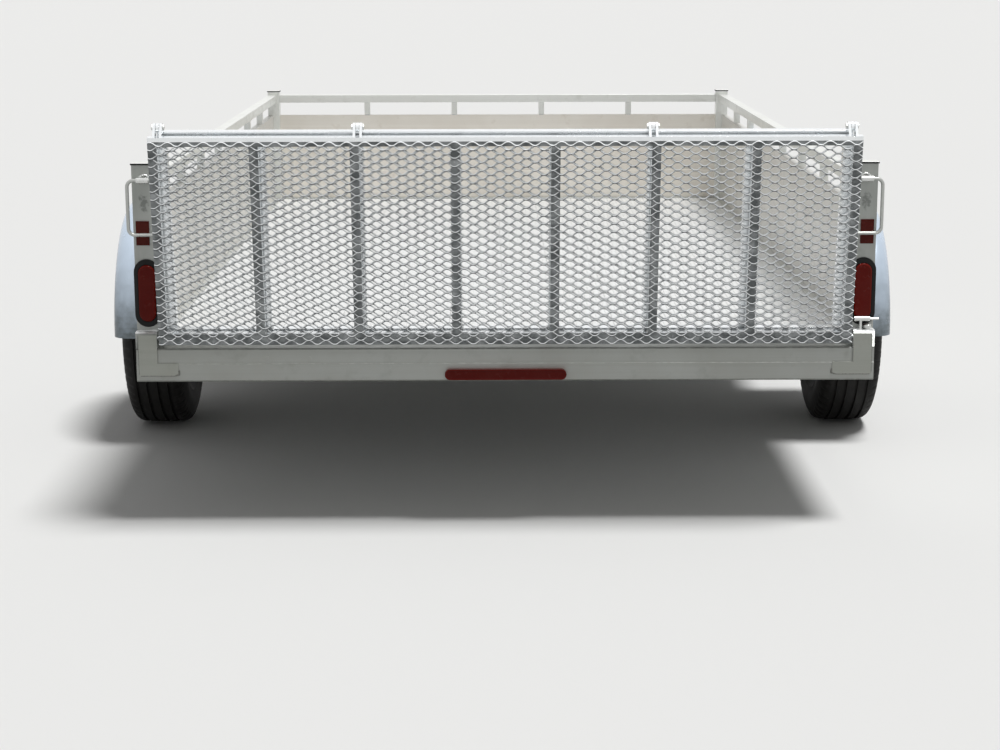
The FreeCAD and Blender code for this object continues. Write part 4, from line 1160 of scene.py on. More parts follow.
@dataclass
class Studio:
    """Pale floor, a wide soft sun nearly overhead and a plain world.

    Attributes:
        floor_seen: the floor's colour as the camera sees it.
        floor_bounce: its colour for the light that it sends back up.
        floor_reach: how far it reaches from the middle.
        fill: the world's strength for light.
        sun: the sun's strength.
        spread: how wide the sun is, in degrees.
        direction: where its light goes.
    """

    floor_seen: Colour = (0.80, 0.80, 0.79)
    floor_bounce: Colour = (0.28, 0.29, 0.28)
    floor_reach: float = 160.0
    fill: float = 0.23
    sun: float = 2.6
    spread: float = 16.0
    direction: tuple[float, float, float] = (-0.26, 0.10, -1.0)

    def build(self) -> None:
        """Make floor, sun and world, and set the plain view transform."""
        self.make_floor()
        data = bpy.data.lights.new("soft_sun", "SUN")
        data.energy = self.sun
        data.angle = math.radians(self.spread)
        lamp = bpy.data.objects.new("soft_sun", data)
        bpy.context.scene.collection.objects.link(lamp)
        lamp.matrix_world = Vector(self.direction).to_track_quat("-Z", "Y").to_matrix().to_4x4()
        self.make_world()
        bpy.context.scene.view_settings.view_transform = "Standard"

    def seen(self, graph: Graph) -> Socket:
        """Whether a ray is one that shows its surface.

        Args:
            graph: the tree to build in.

        Returns:
            One for rays of the camera, of gloss and through glass, or else nothing.
        """
        path = graph.add("ShaderNodeLightPath")
        direct = graph.math("MAXIMUM", path.outputs["Is Camera Ray"], path.outputs["Is Glossy Ray"])
        return graph.math("MAXIMUM", direct, path.outputs["Is Transmission Ray"])

    def make_floor(self) -> None:
        """A wide floor at ground level, clear from below."""
        shape = bmesh.new()
        bmesh.ops.create_grid(shape, x_segments=2, y_segments=2, size=self.floor_reach)
        mesh = bpy.data.meshes.new("floor")
        shape.to_mesh(mesh)
        shape.free()
        material, graph, shader = start_material("floor")
        surface = shader.outputs[0].links[0].to_socket
        under = graph.add("ShaderNodeMixShader")
        graph.feed(under.inputs["Fac"], graph.add("ShaderNodeNewGeometry").outputs["Backfacing"])
        graph.feed(under.inputs[1], shader.outputs[0])
        graph.feed(under.inputs[2], graph.add("ShaderNodeBsdfTransparent").outputs[0])
        graph.feed(surface, under.outputs[0])
        colour = graph.blend(self.seen(graph), self.floor_bounce, self.floor_seen)
        graph.feed(shader.inputs["Base Color"], colour)
        graph.feed(shader.inputs["Roughness"], 0.9)
        graph.feed(shader.inputs["Specular IOR Level"], 0.1)
        mesh.materials.append(material)
        floor = bpy.data.objects.new("floor", mesh)
        bpy.context.scene.collection.objects.link(floor)

    def make_world(self) -> None:
        """A white background for what is seen, and a softer one for what is lit."""
        world = bpy.data.worlds.new("studio")
        world.use_nodes = True
        bpy.context.scene.world = world
        graph = Graph(world.node_tree)
        background = graph.add("ShaderNodeBackground")
        graph.feed(background.inputs["Strength"], graph.remap(self.seen(graph), 0.0, 1.0, self.fill, 1.0))
        graph.feed(background.inputs["Color"], (1.0, 1.0, 1.0))
        graph.feed(graph.add("ShaderNodeOutputWorld").inputs["Surface"], background.outputs[0])


# Sub-assemblies


@dataclass
class Framework:
    """The extruded frame: its nodes with rounded, rubbed edges, and painted highlight and painted shade on
    some faces.

    Attributes:
        finishes: the materials.
        foot_slope: how wide the slope along a foot's upper rear edge is.
        foot_rim: how wide the slope round the rest of its rear face is.
        rim_highlight: how strong the painted highlight on that one is.
        fender_shade_top: the height at which a fender's painted shade begins.
        fender_shade_depth: how much lower it is at its full strength.
        cap_reach: how far a post's cap stands out all round.
        band_reach: how far its dark band does.
        shadow_foot: how far the band reaches below the cap, as a painted shadow line.
        band_top: how far the band stays below the cap's top.
    """

    finishes: Finishes
    foot_slope: float = 4.2 * MM
    foot_rim: float = 2.4 * MM
    rim_highlight: float = 0.3
    fender_shade_top: float = 0.70
    fender_shade_depth: float = 0.34
    cap_reach: float = 2.0 * MM
    band_reach: float = 2.4 * MM
    shadow_foot: float = 1.6 * MM
    band_top: float = 0.9 * MM

    def build(self) -> None:
        """Dress each node of the frame."""
        f = self.finishes
        zinc = {"finish": f.zinc, "slot": Slot.ZINC}
        skins = (
            Skin("rear_sill", ("rear_sill",), f.sill_x, 1.2, prepare=self.mark_slopes),
            Skin("end_trim", ("deck_trim",), f.shaded_mill_x, 0.8, Slot.DECK),
            Skin("side_sills", ("side_sill_left", "side_sill_right"), f.sill_y, 2.0),
            Skin("front_sill", ("front_sill",), f.shaded_mill_x, 2.0),
            Skin("crossmembers", ("crossmembers",), f.shaded_mill_x, 0.6),
            Skin("side_walls", ("wall_left", "wall_right"), f.wall_y, 1.0),
            Skin("front_wall", ("wall_front",), f.wall_x, 1.0),
            Skin("side_rails", ("rail_left", "rail_right"), f.rail_y, 4.0),
            Skin("front_rail", ("rail_front",), f.rail_x, 4.0),
            Skin("side_uprights", ("side_uprights",), f.rail_z, 1.5),
            Skin("front_uprights", ("front_uprights",), f.rail_z, 1.5),
            Skin("front_posts", ("front_posts",), f.rail_z, 2.5),
            Skin("rear_posts", ("rear_post_left", "rear_post_right"), f.shaded_mill_z, 1.5),
            Skin("post_feet", ("post_feet",), f.foot, 1.8, prepare=self.ease_feet),
            Skin("corner_plates", ("corner_plates",), f.plate, 0.6),
            Skin("tongue_rails", ("tongue_rail_left", "tongue_rail_right"), f.tongue, 3.0, Slot.TONGUE),
            Skin("coupler_body", ("coupler",), width=0.8, **zinc),
            Skin("coupler_latch", ("coupler_lever",), width=1.0, **zinc),
            Skin("jack_plate", ("jack_bracket",), width=0.8, **zinc),
            Skin("jack_outer", ("jack_tube",), width=0.6, body=Body.JACK, **zinc),
            Skin("jack_handle", ("jack_crank",), width=0.5, body=Body.JACK, **zinc),
            Skin("jack_inner", ("jack_leg",), width=0.6, body=Body.RAM, **zinc),
            Skin("axle", ("axle_beam",), f.galvanised, 3.0, Slot.GALVANISED),
            Skin("axle_arms", ("torsion_arm_left", "torsion_arm_right"), f.galvanised, 1.2, Slot.GALVANISED),
            Skin("rods", ("latch_rods",), f.rod, 0.0, Slot.ZINC),
            Skin("rod_sleeves", ("latch_sleeves",), width=0.5, **zinc),
            Skin("fenders", ("fender_left", "fender_right"), f.fender, 0.0, Slot.FENDER, prepare=self.paint_fender_shade),
        )
        for skin in skins:
            skin.build()
        self.make_caps()

    def mark_slopes(self, shape: Mesh) -> None:
        """Painted shade on the rear sill's sloped steps, which are marked for the darker edge colour.

        Args:
            shape: the sill's mesh.
        """
        layer = face_layer(shape, "edge")
        mark((face for face in shape.faces if face.normal.y < -0.3 and abs(face.normal.z) > 0.3), layer)

    def paint_fender_shade(self, shape: Mesh) -> None:
        """Painted shade on the fenders, darker towards the ground, standing in for the ground's reflection.

        Args:
            shape: the fenders' mesh.
        """
        # Painted shade: faces lower down take more of the dark colour.
        layer = face_layer(shape, "painted_shade")
        for face in shape.faces:
            depth = (self.fender_shade_top - face.calc_center_median().z) / self.fender_shade_depth
            face[layer] = max(0.0, min(1.0, depth)) ** 1.5

    def ease_feet(self, shape: Mesh) -> None:
        """Painted highlight on the feet's tops and on a wide slope along their upper rear edges, and a
        fainter one on a narrower slope round them.

        Args:
            shape: the feet's mesh.
        """
        layer = face_layer(shape, "edge")
        mark((face for face in shape.faces if face.normal.z > 0.9), layer)
        low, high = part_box("post_feet")
        rear = low.y + NEAR
        tops = [e for e in shape.edges if all(v.co.z > high.z - NEAR and v.co.y < rear for v in e.verts)]
        mark(bevel(shape, tops, self.foot_slope, 1), layer)
        below = high.z - self.foot_slope - 0.8 * MM
        rims = [e for e in shape.edges if all(v.co.y < rear for v in e.verts)
                and min(v.co.z for v in e.verts) < below]
        mark(bevel(shape, rims, self.foot_rim, 1), layer, self.rim_highlight)

    def make_caps(self) -> None:
        """The posts' caps, which stand out a little all round, and the dark band round each cap's edge, which
        reaches below it as a painted shadow line.
        """
        dark_bands = bmesh.new()
        shape = merged_copy("post_caps")
        for x0, x1 in spans("post_caps", 0, 0.2):
            for y0, y1 in spans("post_caps", 1, 0.2):
                near = [v for v in shape.verts if x0 - MM < v.co.x < x1 + MM and y0 - MM < v.co.y < y1 + MM]
                low = Vector(min(v.co[axis] for v in near) for axis in range(3))
                high = Vector(max(v.co[axis] for v in near) for axis in range(3))
                block(dark_bands, low - Vector((self.band_reach, self.band_reach, self.shadow_foot)),
                      high + Vector((self.band_reach, self.band_reach, -self.band_top)))
                middle = (low + high) / 2
                for vert in near:
                    for axis in (0, 1):
                        vert.co[axis] += self.cap_reach * (1 if vert.co[axis] > middle[axis] else -1)
        round_edges(shape, 0.8 * MM)
        # The caps' bright tops are a painted reflection of the sky on caps whose edges are dark.
        finish_piece("post_caps", shape, self.finishes.rail_x, Body.CHASSIS, ("post_caps",),
                     weighted=True)
        # Dark band: the caps' dark edge, and below them a painted shadow line.
        round_edges(dark_bands, 0.5 * MM)
        finish_piece("cap_edges_and_shadow", dark_bands, self.finishes.rubber, Body.CHASSIS)


@dataclass
class MeshSheet:
    """One sheet of raised expanded metal on a gate panel.

    Attributes:
        name: the piece's name.
        node: the frame node that it stands for.
        body: what it rides on.
        half: half of its width.
        low: its lowest row above the gate's hinge, along the panel.
        high: its highest row.
        depth: where its middle lies, forward of the hinge.
        shift: how far its diamonds are moved sideways.
        long_pitch: a diamond's width.
        short_pitch: its height.
        strand: how wide the strands are.
        thickness: how thick they are.
        tilt: how far they are twisted out of the sheet, in degrees.
        squareness: how much of a wave is cut flat at its crests.
        glint: the least, the mean and the swing of the painted highlight on their upper edges.
        samples: how many steps a wave has.
    """

    name: str
    node: str
    body: Body
    half: float
    low: float
    high: float
    depth: float
    shift: float
    long_pitch: float = 0.04855
    short_pitch: float = 0.02315
    strand: float = 0.0032
    thickness: float = 0.0027
    tilt: float = 52.0
    squareness: float = 1.18
    glint: tuple[float, float, float] = (0.05, 0.70, 0.85)
    samples: int = 10

    def wave(self, x: float, upper: bool) -> float:
        """Where a strand is in its wave.

        Args:
            x: the place along the strand.
            upper: whether it is the upper strand of a pair.

        Returns:
            1 on a crest and -1 in a trough.
        """
        return math.cos((x - self.shift) / self.long_pitch * math.tau + upper * math.pi)

    def build(self, finishes: Finishes, lean: Matrix) -> None:
        """Make the sheet.

        Args:
            finishes: the materials.
            lean: the panel's place from upright at the hinge to rest.
        """
        rise = self.short_pitch / 2
        shape = self.make_pair(rise)
        rows = int((self.high - self.low) / rise)
        repeat(shape, (rows + 1) // 2, (0, 0, 2 * rise))
        layer = face_layer(shape, "edge")
        # Painted highlight: the top row's marked upper edges at full strength.
        crown = max(v.co.z for v in shape.verts) - rise
        mark((f for f in shape.faces if f[layer] and f.calc_center_median().z > crown), layer)
        bmesh.ops.translate(shape, verts=shape.verts, vec=(0, self.depth, self.low + rise / 2))
        bmesh.ops.transform(shape, verts=shape.verts, matrix=lean)
        bmesh.ops.recalc_face_normals(shape, faces=shape.faces)
        finish_piece(self.name, shape, finishes.mesh, self.body, (self.node,), smooth=40.0)

    def make_pair(self, rise: float) -> Mesh:
        """The first two strands, which make one row of diamonds, with their upper edges marked for a painted
        highlight.

        Args:
            rise: the height from one strand to the next.

        Returns:
            Their mesh.
        """
        tilt = math.radians(self.tilt)
        across = Vector((0, -math.sin(tilt), math.cos(tilt)))
        height = (rise - self.strand * across.z) / 2
        sway = -self.strand * across.y / 2
        shape = bmesh.new()
        count = round(2 * self.half / self.long_pitch * self.samples)
        for upper in (False, True):
            made = bmesh.ops.create_grid(shape, x_segments=count, y_segments=1, size=1.0)
            for vert in made["verts"]:
                x = vert.co.x * self.half
                lift = max(-1.0, min(1.0, self.squareness * self.wave(x, upper)))
                middle = Vector((x, sway * lift, height * lift + upper * rise))
                vert.co = middle + across * (vert.co.y * self.strand / 2)
        bmesh.ops.recalc_face_normals(shape, faces=shape.faces)
        bmesh.ops.reverse_faces(shape, faces=[face for face in shape.faces if face.normal.y > 0])
        layer = face_layer(shape, "edge")
        front = set(shape.faces)
        bmesh.ops.solidify(shape, geom=shape.faces[:], thickness=self.thickness)
        # Painted highlight on the upper edges, strongest in the waves' troughs.
        least, mean, swing = self.glint
        for face in shape.faces:
            if face not in front and face.normal.z > 0.3:
                middle = face.calc_center_median()
                crest = self.wave(middle.x, middle.z > rise / 2)
                face[layer] = max(least, min(1.0, mean - swing * crest))
        return shape


@dataclass(frozen=True)
class Panel:
    """One of the gate's two panels, measured upright from the gate's hinge.

    Attributes:
        word: the first word of its pieces' names.
        body: what it rides on.
        half: half of its width.
        bays: its bays' lower and upper edge.
        depths: its bars' rear and front face.
        top: its top bar's upper face.
        covered: the height up to which a mesh sheet covers its rear faces, if one does.
    """

    word: str
    body: Body
    half: float
    bays: tuple[float, float]
    depths: tuple[float, float]
    top: float
    covered: float | None = None


@dataclass
class RampGate:
    """The bi-fold ramp gate's frames, mesh sheets, hinge bolts and welds.

    Attributes:
        finishes: the materials.
        lean: how far the gate leans back, in degrees.
        pivot: the fold hinges' depth and height above the gate's hinge.
        bar: the bars' width.
        bay_count: how many bays each panel has.
        edge: how wide the bars' edges are rounded.
        top_edge: how much wider the top bars' are.
        lug: how far a bolt's head and nut lie within its hinge's lugs.
        bead: a weld bead's radius.
    """

    finishes: Finishes
    lean: float = 8.0
    pivot: tuple[float, float] = (0.0185, 0.598)
    bar: float = 0.025
    bay_count: int = 7
    edge: float = 1.5 * MM
    top_edge: float = 1.2 * MM
    lug: float = 5.0 * MM
    bead: float = 2.4 * MM

    def place(self) -> Matrix:
        """The panels' place from upright at the hinge to rest."""
        hinge = next(j for j in frame["joints"] if j["name"] == "gate_hinge")
        return Matrix.Translation(Vector(hinge["pos_m"])) @ Matrix.Rotation(math.radians(self.lean), 4, "X")

    def build(self) -> None:
        """Make the sheets and what holds the panels together."""
        lean = self.place()
        outer = Panel("gate", Body.GATE, half=0.971, bays=(0.016, 0.551), depths=(-0.0125, 0.0125), top=0.576,
                      covered=0.5645)
        inner = Panel("fold", Body.FOLD, half=0.950, bays=(0.018, 0.559), depths=(0.0275, 0.0525), top=0.584)
        sheets = (MeshSheet("outer_mesh", "gate_mesh", outer.body, outer.half, low=-0.016, high=0.567,
                            depth=-0.0149, shift=-0.0174),
                  MeshSheet("inner_mesh", "fold_mesh", inner.body, inner.half, low=-0.002, high=0.560,
                            depth=0.0250, shift=-0.0121))
        for sheet in sheets:
            sheet.build(self.finishes, lean)
        for panel in (outer, inner):
            self.make_tubes(panel, lean)
        self.make_bolts(lean)
        for panel in (outer, inner):
            self.make_welds(panel, lean)

    def make_tubes(self, panel: Panel, lean: Matrix) -> None:
        """One panel's frame, with a wider rounding along its top bar.

        Args:
            panel: the panel.
            lean: its place from upright at the hinge to rest.
        """
        node = f"{panel.word}_frame"
        shape = merged_copy(node)
        bmesh.ops.transform(shape, verts=shape.verts, matrix=lean.inverted())
        # Painted shade: the rear faces below the mesh sheet's top are marked for it.
        layer = face_layer(shape, "painted_shade")
        if panel.covered:
            bmesh.ops.bisect_plane(shape, geom=whole(shape), dist=1e-6, plane_co=(0, 0, panel.covered),
                                   plane_no=UP)
            mark((face for face in shape.faces
                  if face.normal.y < -0.9 and face.calc_center_median().z < panel.covered), layer)
        round_edges(shape, self.edge)
        reach = self.edge + NEAR
        long_edges = [e for e in shape.edges if abs(e.verts[0].co.x - e.verts[1].co.x) > 0.02
                      and min(v.co.z for v in e.verts) > panel.top - reach
                      and min(abs(e.verts[0].co.y - y) for y in panel.depths) < reach]
        bevel(shape, long_edges, self.top_edge)
        bmesh.ops.transform(shape, verts=shape.verts, matrix=lean)
        finish_piece(f"{panel.word}_tubes", shape, self.finishes.tube, panel.body, (node,),
                     weighted=True)

    def make_bolts(self, lean: Matrix) -> None:
        """The fold hinges' bolts: a head and washer on one side, a nut on the other.

        Args:
            lean: the panels' place from upright at the hinge to rest.
        """
        head = hex_bolt(8.4, 3.4, 8.5)
        nut = hex_bolt(8.4, 2.6, 8.5, 0.9)
        shape = bmesh.new()
        middle = lean @ Vector((0, *self.pivot))
        for low, high in spans("fold_bolts", 0):
            left, right = (Vector((x, middle.y, middle.z)) for x in (low + self.lug, high - self.lug))
            rod(shape, left, right, 5.0 * MM)
            head.put(shape, left, Vector((-1, 0, 0)), 12.0)
            nut.put(shape, right, Vector((1, 0, 0)), 41.0)
        finish_piece("hinge_bolts", shape, self.finishes.zinc, Body.GATE, ("fold_bolts",))

    def make_welds(self, panel: Panel, lean: Matrix) -> None:
        """Weld beads in the corners of a panel's bays.

        Args:
            panel: the panel.
            lean: its place from upright at the hinge to rest.
        """
        pitch = (2 * panel.half - self.bar) / self.bay_count
        low, high = panel.bays
        shape = bmesh.new()
        for bay in range(self.bay_count):
            left = -panel.half + self.bar + bay * pitch
            for x in (left + MM, left + pitch - self.bar - MM):
                for z in (low + MM, high - MM):
                    rear, front = (lean @ Vector((x, y, z)) for y in panel.depths)
                    weld_bead(shape, rear, front, self.bead)
        finish_piece(f"{panel.word}_welds", shape, self.finishes.weld, panel.body)


@dataclass
class Wheels:
    """Tyres with grooved tread, rims and hubs.

    Attributes:
        finishes: the materials.
        radius: the tyre's radius.
        width: its width.
        wall: how thick it is.
        bead: how far below its tread the beads lie.
        steps: how many steps go round the tyre.
        pitches: how many notches go round a shoulder.
        notch: how deep a notch is.
        notch_share: how much of a pitch it takes.
        stagger: how far the right shoulder's notches are moved on, in pitches.
        groove_places: the tread grooves' middles.
        shoulder: the sidewall's points in millimetres, inward from its side and down from its tread.
        studs: how many studs a hub has.
        stud_circle: the radius of the circle that they stand on.
        stud_reach: how far they stand out.
    """

    finishes: Finishes
    radius: float = 0.343
    width: float = 0.205
    wall: float = 0.010
    bead: float = 0.1522
    steps: int = 360
    pitches: int = 60
    notch: float = 0.0045
    notch_share: float = 0.17
    stagger: float = 0.35
    groove_places: tuple[float, ...] = (-0.052, -0.018, 0.018, 0.052)
    shoulder: Points = ((36, 1.5), (26, 4), (17, 10), (10.5, 19), (7.5, 28), (8.5, 30), (4.5, 45), (1.8, 58),
                        (0.4, 66), (0.4, 74), (2.2, 90), (6, 106), (5.5, 109), (12, 120), (16.5, 129),
                        (17.2, 134.5), (19, 139.2), (26.8, 152.2))
    studs: int = 5
    stud_circle: float = 0.05715
    stud_reach: float = 6.2 * MM

    def build(self) -> None:
        """Make both wheels."""
        f = self.finishes
        for side, sign, body in (("left", -1, Body.WHEEL_LEFT), ("right", 1, Body.WHEEL_RIGHT)):
            low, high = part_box(f"tyre_{side}")
            centre = (low + high) / 2
            centre.z = self.radius
            self.make_tyre(side, centre, body)
            rim = merged_copy(f"rim_{side}")
            round_edges(rim, 1.0 * MM, 1, 50.0)
            finish_piece(f"rim_face_{side}", rim, f.rim, body, (f"rim_{side}",), weighted=True)
            self.make_hub(side, Vector((sign, 0, 0)), centre, body)

    def make_hub(self, side: str, out: Vector, centre: Vector, body: Body) -> None:
        """One hub with its dust cap, lug nuts and the rim's valve.

        Args:
            side: left or right.
            out: the way out from the trailer.
            centre: the wheel's centre.
            body: what it rides on.
        """
        section = ((0, 29), (19.05, 29), (19.05, -105.5), (40.5, -105.5), (42, -104), (42, -10), (71, -10),
                   (72, -9), (72, 0), (32, 0), (32, 7), (34, 7.4), (34, 9.6), (31, 10), (30.4, 27),
                   (29, 31), (25, 33.4), (18, 34), (0, 34))
        dome = spun(((0, 12), (9.6, 12), (9.2, 16), (6.4, 19.2), (0, 20)), 18)
        rod(dome, DOWN * 0.2 * MM, UP * 13 * MM, 11 * MM, 6, 0.8 * MM)
        nut = Stamp(dome)
        hub, nuts = bmesh.new(), bmesh.new()
        Stamp(spun(section, 48)).put(hub, centre, out)
        for index in range(self.studs):
            turn = math.tau / self.studs * index
            spot = centre + Vector((0, math.sin(turn), math.cos(turn))) * self.stud_circle
            rod(hub, spot, spot + out * self.stud_reach, 6.4 * MM, 14)
            nut.put(nuts, spot + out * self.stud_reach, out, 13.0 * index)
        f = self.finishes
        finish_piece(f"hub_face_{side}", hub, f.hub, body, (f"hub_{side}",))
        finish_piece(f"lug_nuts_{side}", nuts, f.zinc, body)
        stem = ((0, -2), (7.4, -2), (7, 2), (4.8, 7), (4.3, 19), (3.3, 20), (3.3, 21.6), (4.3, 22),
                (4.3, 29.4), (3.4, 30.4), (0, 30.6))
        valve = bmesh.new()
        Stamp(spun(stem, 16)).put(valve, centre + out * 39 * MM + DOWN * 175 * MM, out * 0.849 + UP * 0.528)
        finish_piece(f"valve_{side}", valve, f.rubber, body)

    def profile(self) -> list[tuple[float, float]]:
        """The tyre's outer section, from one bead to the other.

        Returns:
            Its points' offset from the tyre's middle and their radius.
        """
        grooves = []
        for centre in self.groove_places:
            crown = self.radius - 0.002 * (centre / 0.06) ** 2
            grooves += [(centre - 0.0050, crown), (centre - 0.0036, crown - 0.007),
                        (centre + 0.0036, crown - 0.007), (centre + 0.0050, crown)]
        right = [(self.width / 2 - inward * MM, self.radius - down * MM) for inward, down in self.shoulder]
        return [(-x, r) for x, r in reversed(right)] + grooves + right

    def make_tyre(self, side: str, centre: Vector, body: Body) -> None:
        """One tyre: a section spun about the axle, with notches pressed into its shoulders.

        Args:
            side: left or right.
            centre: the wheel's centre.
            body: what it rides on.
        """
        shape = bmesh.new()
        section = self.profile()
        inner = [(x * 0.9, max(r - self.wall, self.radius - self.bead)) for x, r in reversed(section)
                 if r > self.radius - 0.12]
        ring = [shape.verts.new((x, 0, r)) for x, r in section + inner]
        edges = [shape.edges.new(pair) for pair in zip(ring, ring[1:] + ring[:1])]
        bmesh.ops.spin(shape, geom=ring + edges, cent=(0, 0, 0), axis=(1, 0, 0), dvec=(0, 0, 0),
                       angle=math.tau, steps=self.steps, use_merge=True, use_duplicate=False)
        bmesh.ops.remove_doubles(shape, verts=shape.verts, dist=0.01 * MM)
        for vert in shape.verts:
            reach = math.hypot(vert.co.y, vert.co.z)
            if reach < self.radius - 0.034 or abs(vert.co.x) < self.width / 2 - 0.030:
                continue
            turn = math.atan2(vert.co.y, vert.co.z) / math.tau * self.pitches
            if (turn + self.stagger * (vert.co.x > 0)) % 1.0 < self.notch_share:
                shrink = (reach - self.notch) / reach
                vert.co.y *= shrink
                vert.co.z *= shrink
        bmesh.ops.recalc_face_normals(shape, faces=shape.faces)
        bmesh.ops.translate(shape, verts=shape.verts, vec=centre)
        finish_piece(f"road_tyre_{side}", shape, self.finishes.tyre, body, (f"tyre_{side}",),
                     smooth=28.0)


@dataclass
class Deck:
    """Ribbed deck planks.

    Attributes:
        finishes: the materials.
        count: how many planks there are.
        gap: the gap between two.
        grooves: how many grooves each has.
        groove_half: half of a groove's width.
        groove_depth: how deep it is.
    """

    finishes: Finishes
    count: int = 12
    gap: float = 1.0 * MM
    grooves: int = 9
    groove_half: float = 2.2 * MM
    groove_depth: float = 1.8 * MM

    def build(self) -> None:
        """Make one grooved plank and repeat it across the bed."""
        low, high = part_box("deck_planks")
        pitch = (high.x - low.x + self.gap) / self.count
        width = pitch - self.gap
        shape = bmesh.new()
        block(shape, low, Vector((low.x + width, high.y, high.z)))
        middles = [low.x + width / (self.grooves + 1) * (index + 1) for index in range(self.grooves)]
        for middle in middles:
            for x in (middle - self.groove_half, middle + self.groove_half):
                bmesh.ops.bisect_plane(shape, geom=whole(shape), dist=1e-6, plane_co=(x, 0, 0),
                                       plane_no=(1, 0, 0))
        top = [face for face in shape.faces if face.normal.z > 0.9
               and any(abs(face.calc_center_median().x - x) < self.groove_half for x in middles)]
        sunk = bmesh.ops.extrude_discrete_faces(shape, faces=top)["faces"]
        bmesh.ops.translate(shape, verts=list({v for f in sunk for v in f.verts}),
                            vec=(0, 0, -self.groove_depth))
        round_edges(shape, 0.4 * MM, segments=1)
        repeat(shape, self.count, (pitch, 0, 0))
        finish_piece("ribbed_planks", shape, self.finishes.deck, Body.CHASSIS, ("deck_planks",),
                     weighted=True)


@dataclass
class Lamps:
    """Tail lamps, reflectors, lamp bar and markers.

    Attributes:
        finishes: the materials.
        border: how wide the plain border round a lens's prisms is.
        step: how wide and how deep the step inside that border is.
    """

    finishes: Finishes
    border: float = 3.0 * MM
    step: float = 0.6 * MM

    def build(self) -> None:
        """Dress the lamps."""
        f = self.finishes
        skins = (
            Skin("tail_lenses_red", ("tail_lenses",), f.red, 0.0, Slot.RED),
            Skin("lamp_grommets", ("tail_grommets",), f.rubber, 1.5, Slot.RUBBER),
            Skin("post_reflectors", ("reflectors",), f.reflector, 1.0, Slot.REFLECTOR,
                 prepare=self.sink_fronts),
            Skin("lamp_bar_lens", ("id_lamp_bar",), f.red, 3.0, Slot.RED, prepare=self.sink_fronts),
            Skin("side_markers", ("marker_lamps",), f.amber, 2.5, Slot.AMBER),
        )
        for skin in skins:
            skin.build()

    def sink_fronts(self, shape: Mesh) -> None:
        """Sink the lenses' rear faces inside a plain border.

        Args:
            shape: the lenses' mesh.
        """
        fronts = [face for face in shape.faces if face.normal.y < -0.9]
        bmesh.ops.inset_individual(shape, faces=fronts, thickness=self.border, depth=0.0)
        bmesh.ops.inset_individual(shape, faces=fronts, thickness=self.step, depth=-self.step)


def rail_point(along: float, across: float, height: float, side: int = 1) -> Vector:
    """A point on a tongue rail.

    Args:
        along: how far back from the rails' meeting point.
        across: how far out from the rail's middle.
        height: its height.
        side: 1 for the right rail, -1 for the left one.

    Returns:
        The point.
    """
    meeting = Vector((0.0255 / math.cos(TONGUE_TURN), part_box("front_sill")[1].y + 1.0))
    x = meeting.x + along * math.sin(TONGUE_TURN) + across * math.cos(TONGUE_TURN)
    y = meeting.y - along * math.cos(TONGUE_TURN) + across * math.sin(TONGUE_TURN)
    return Vector((side * x, y, height))


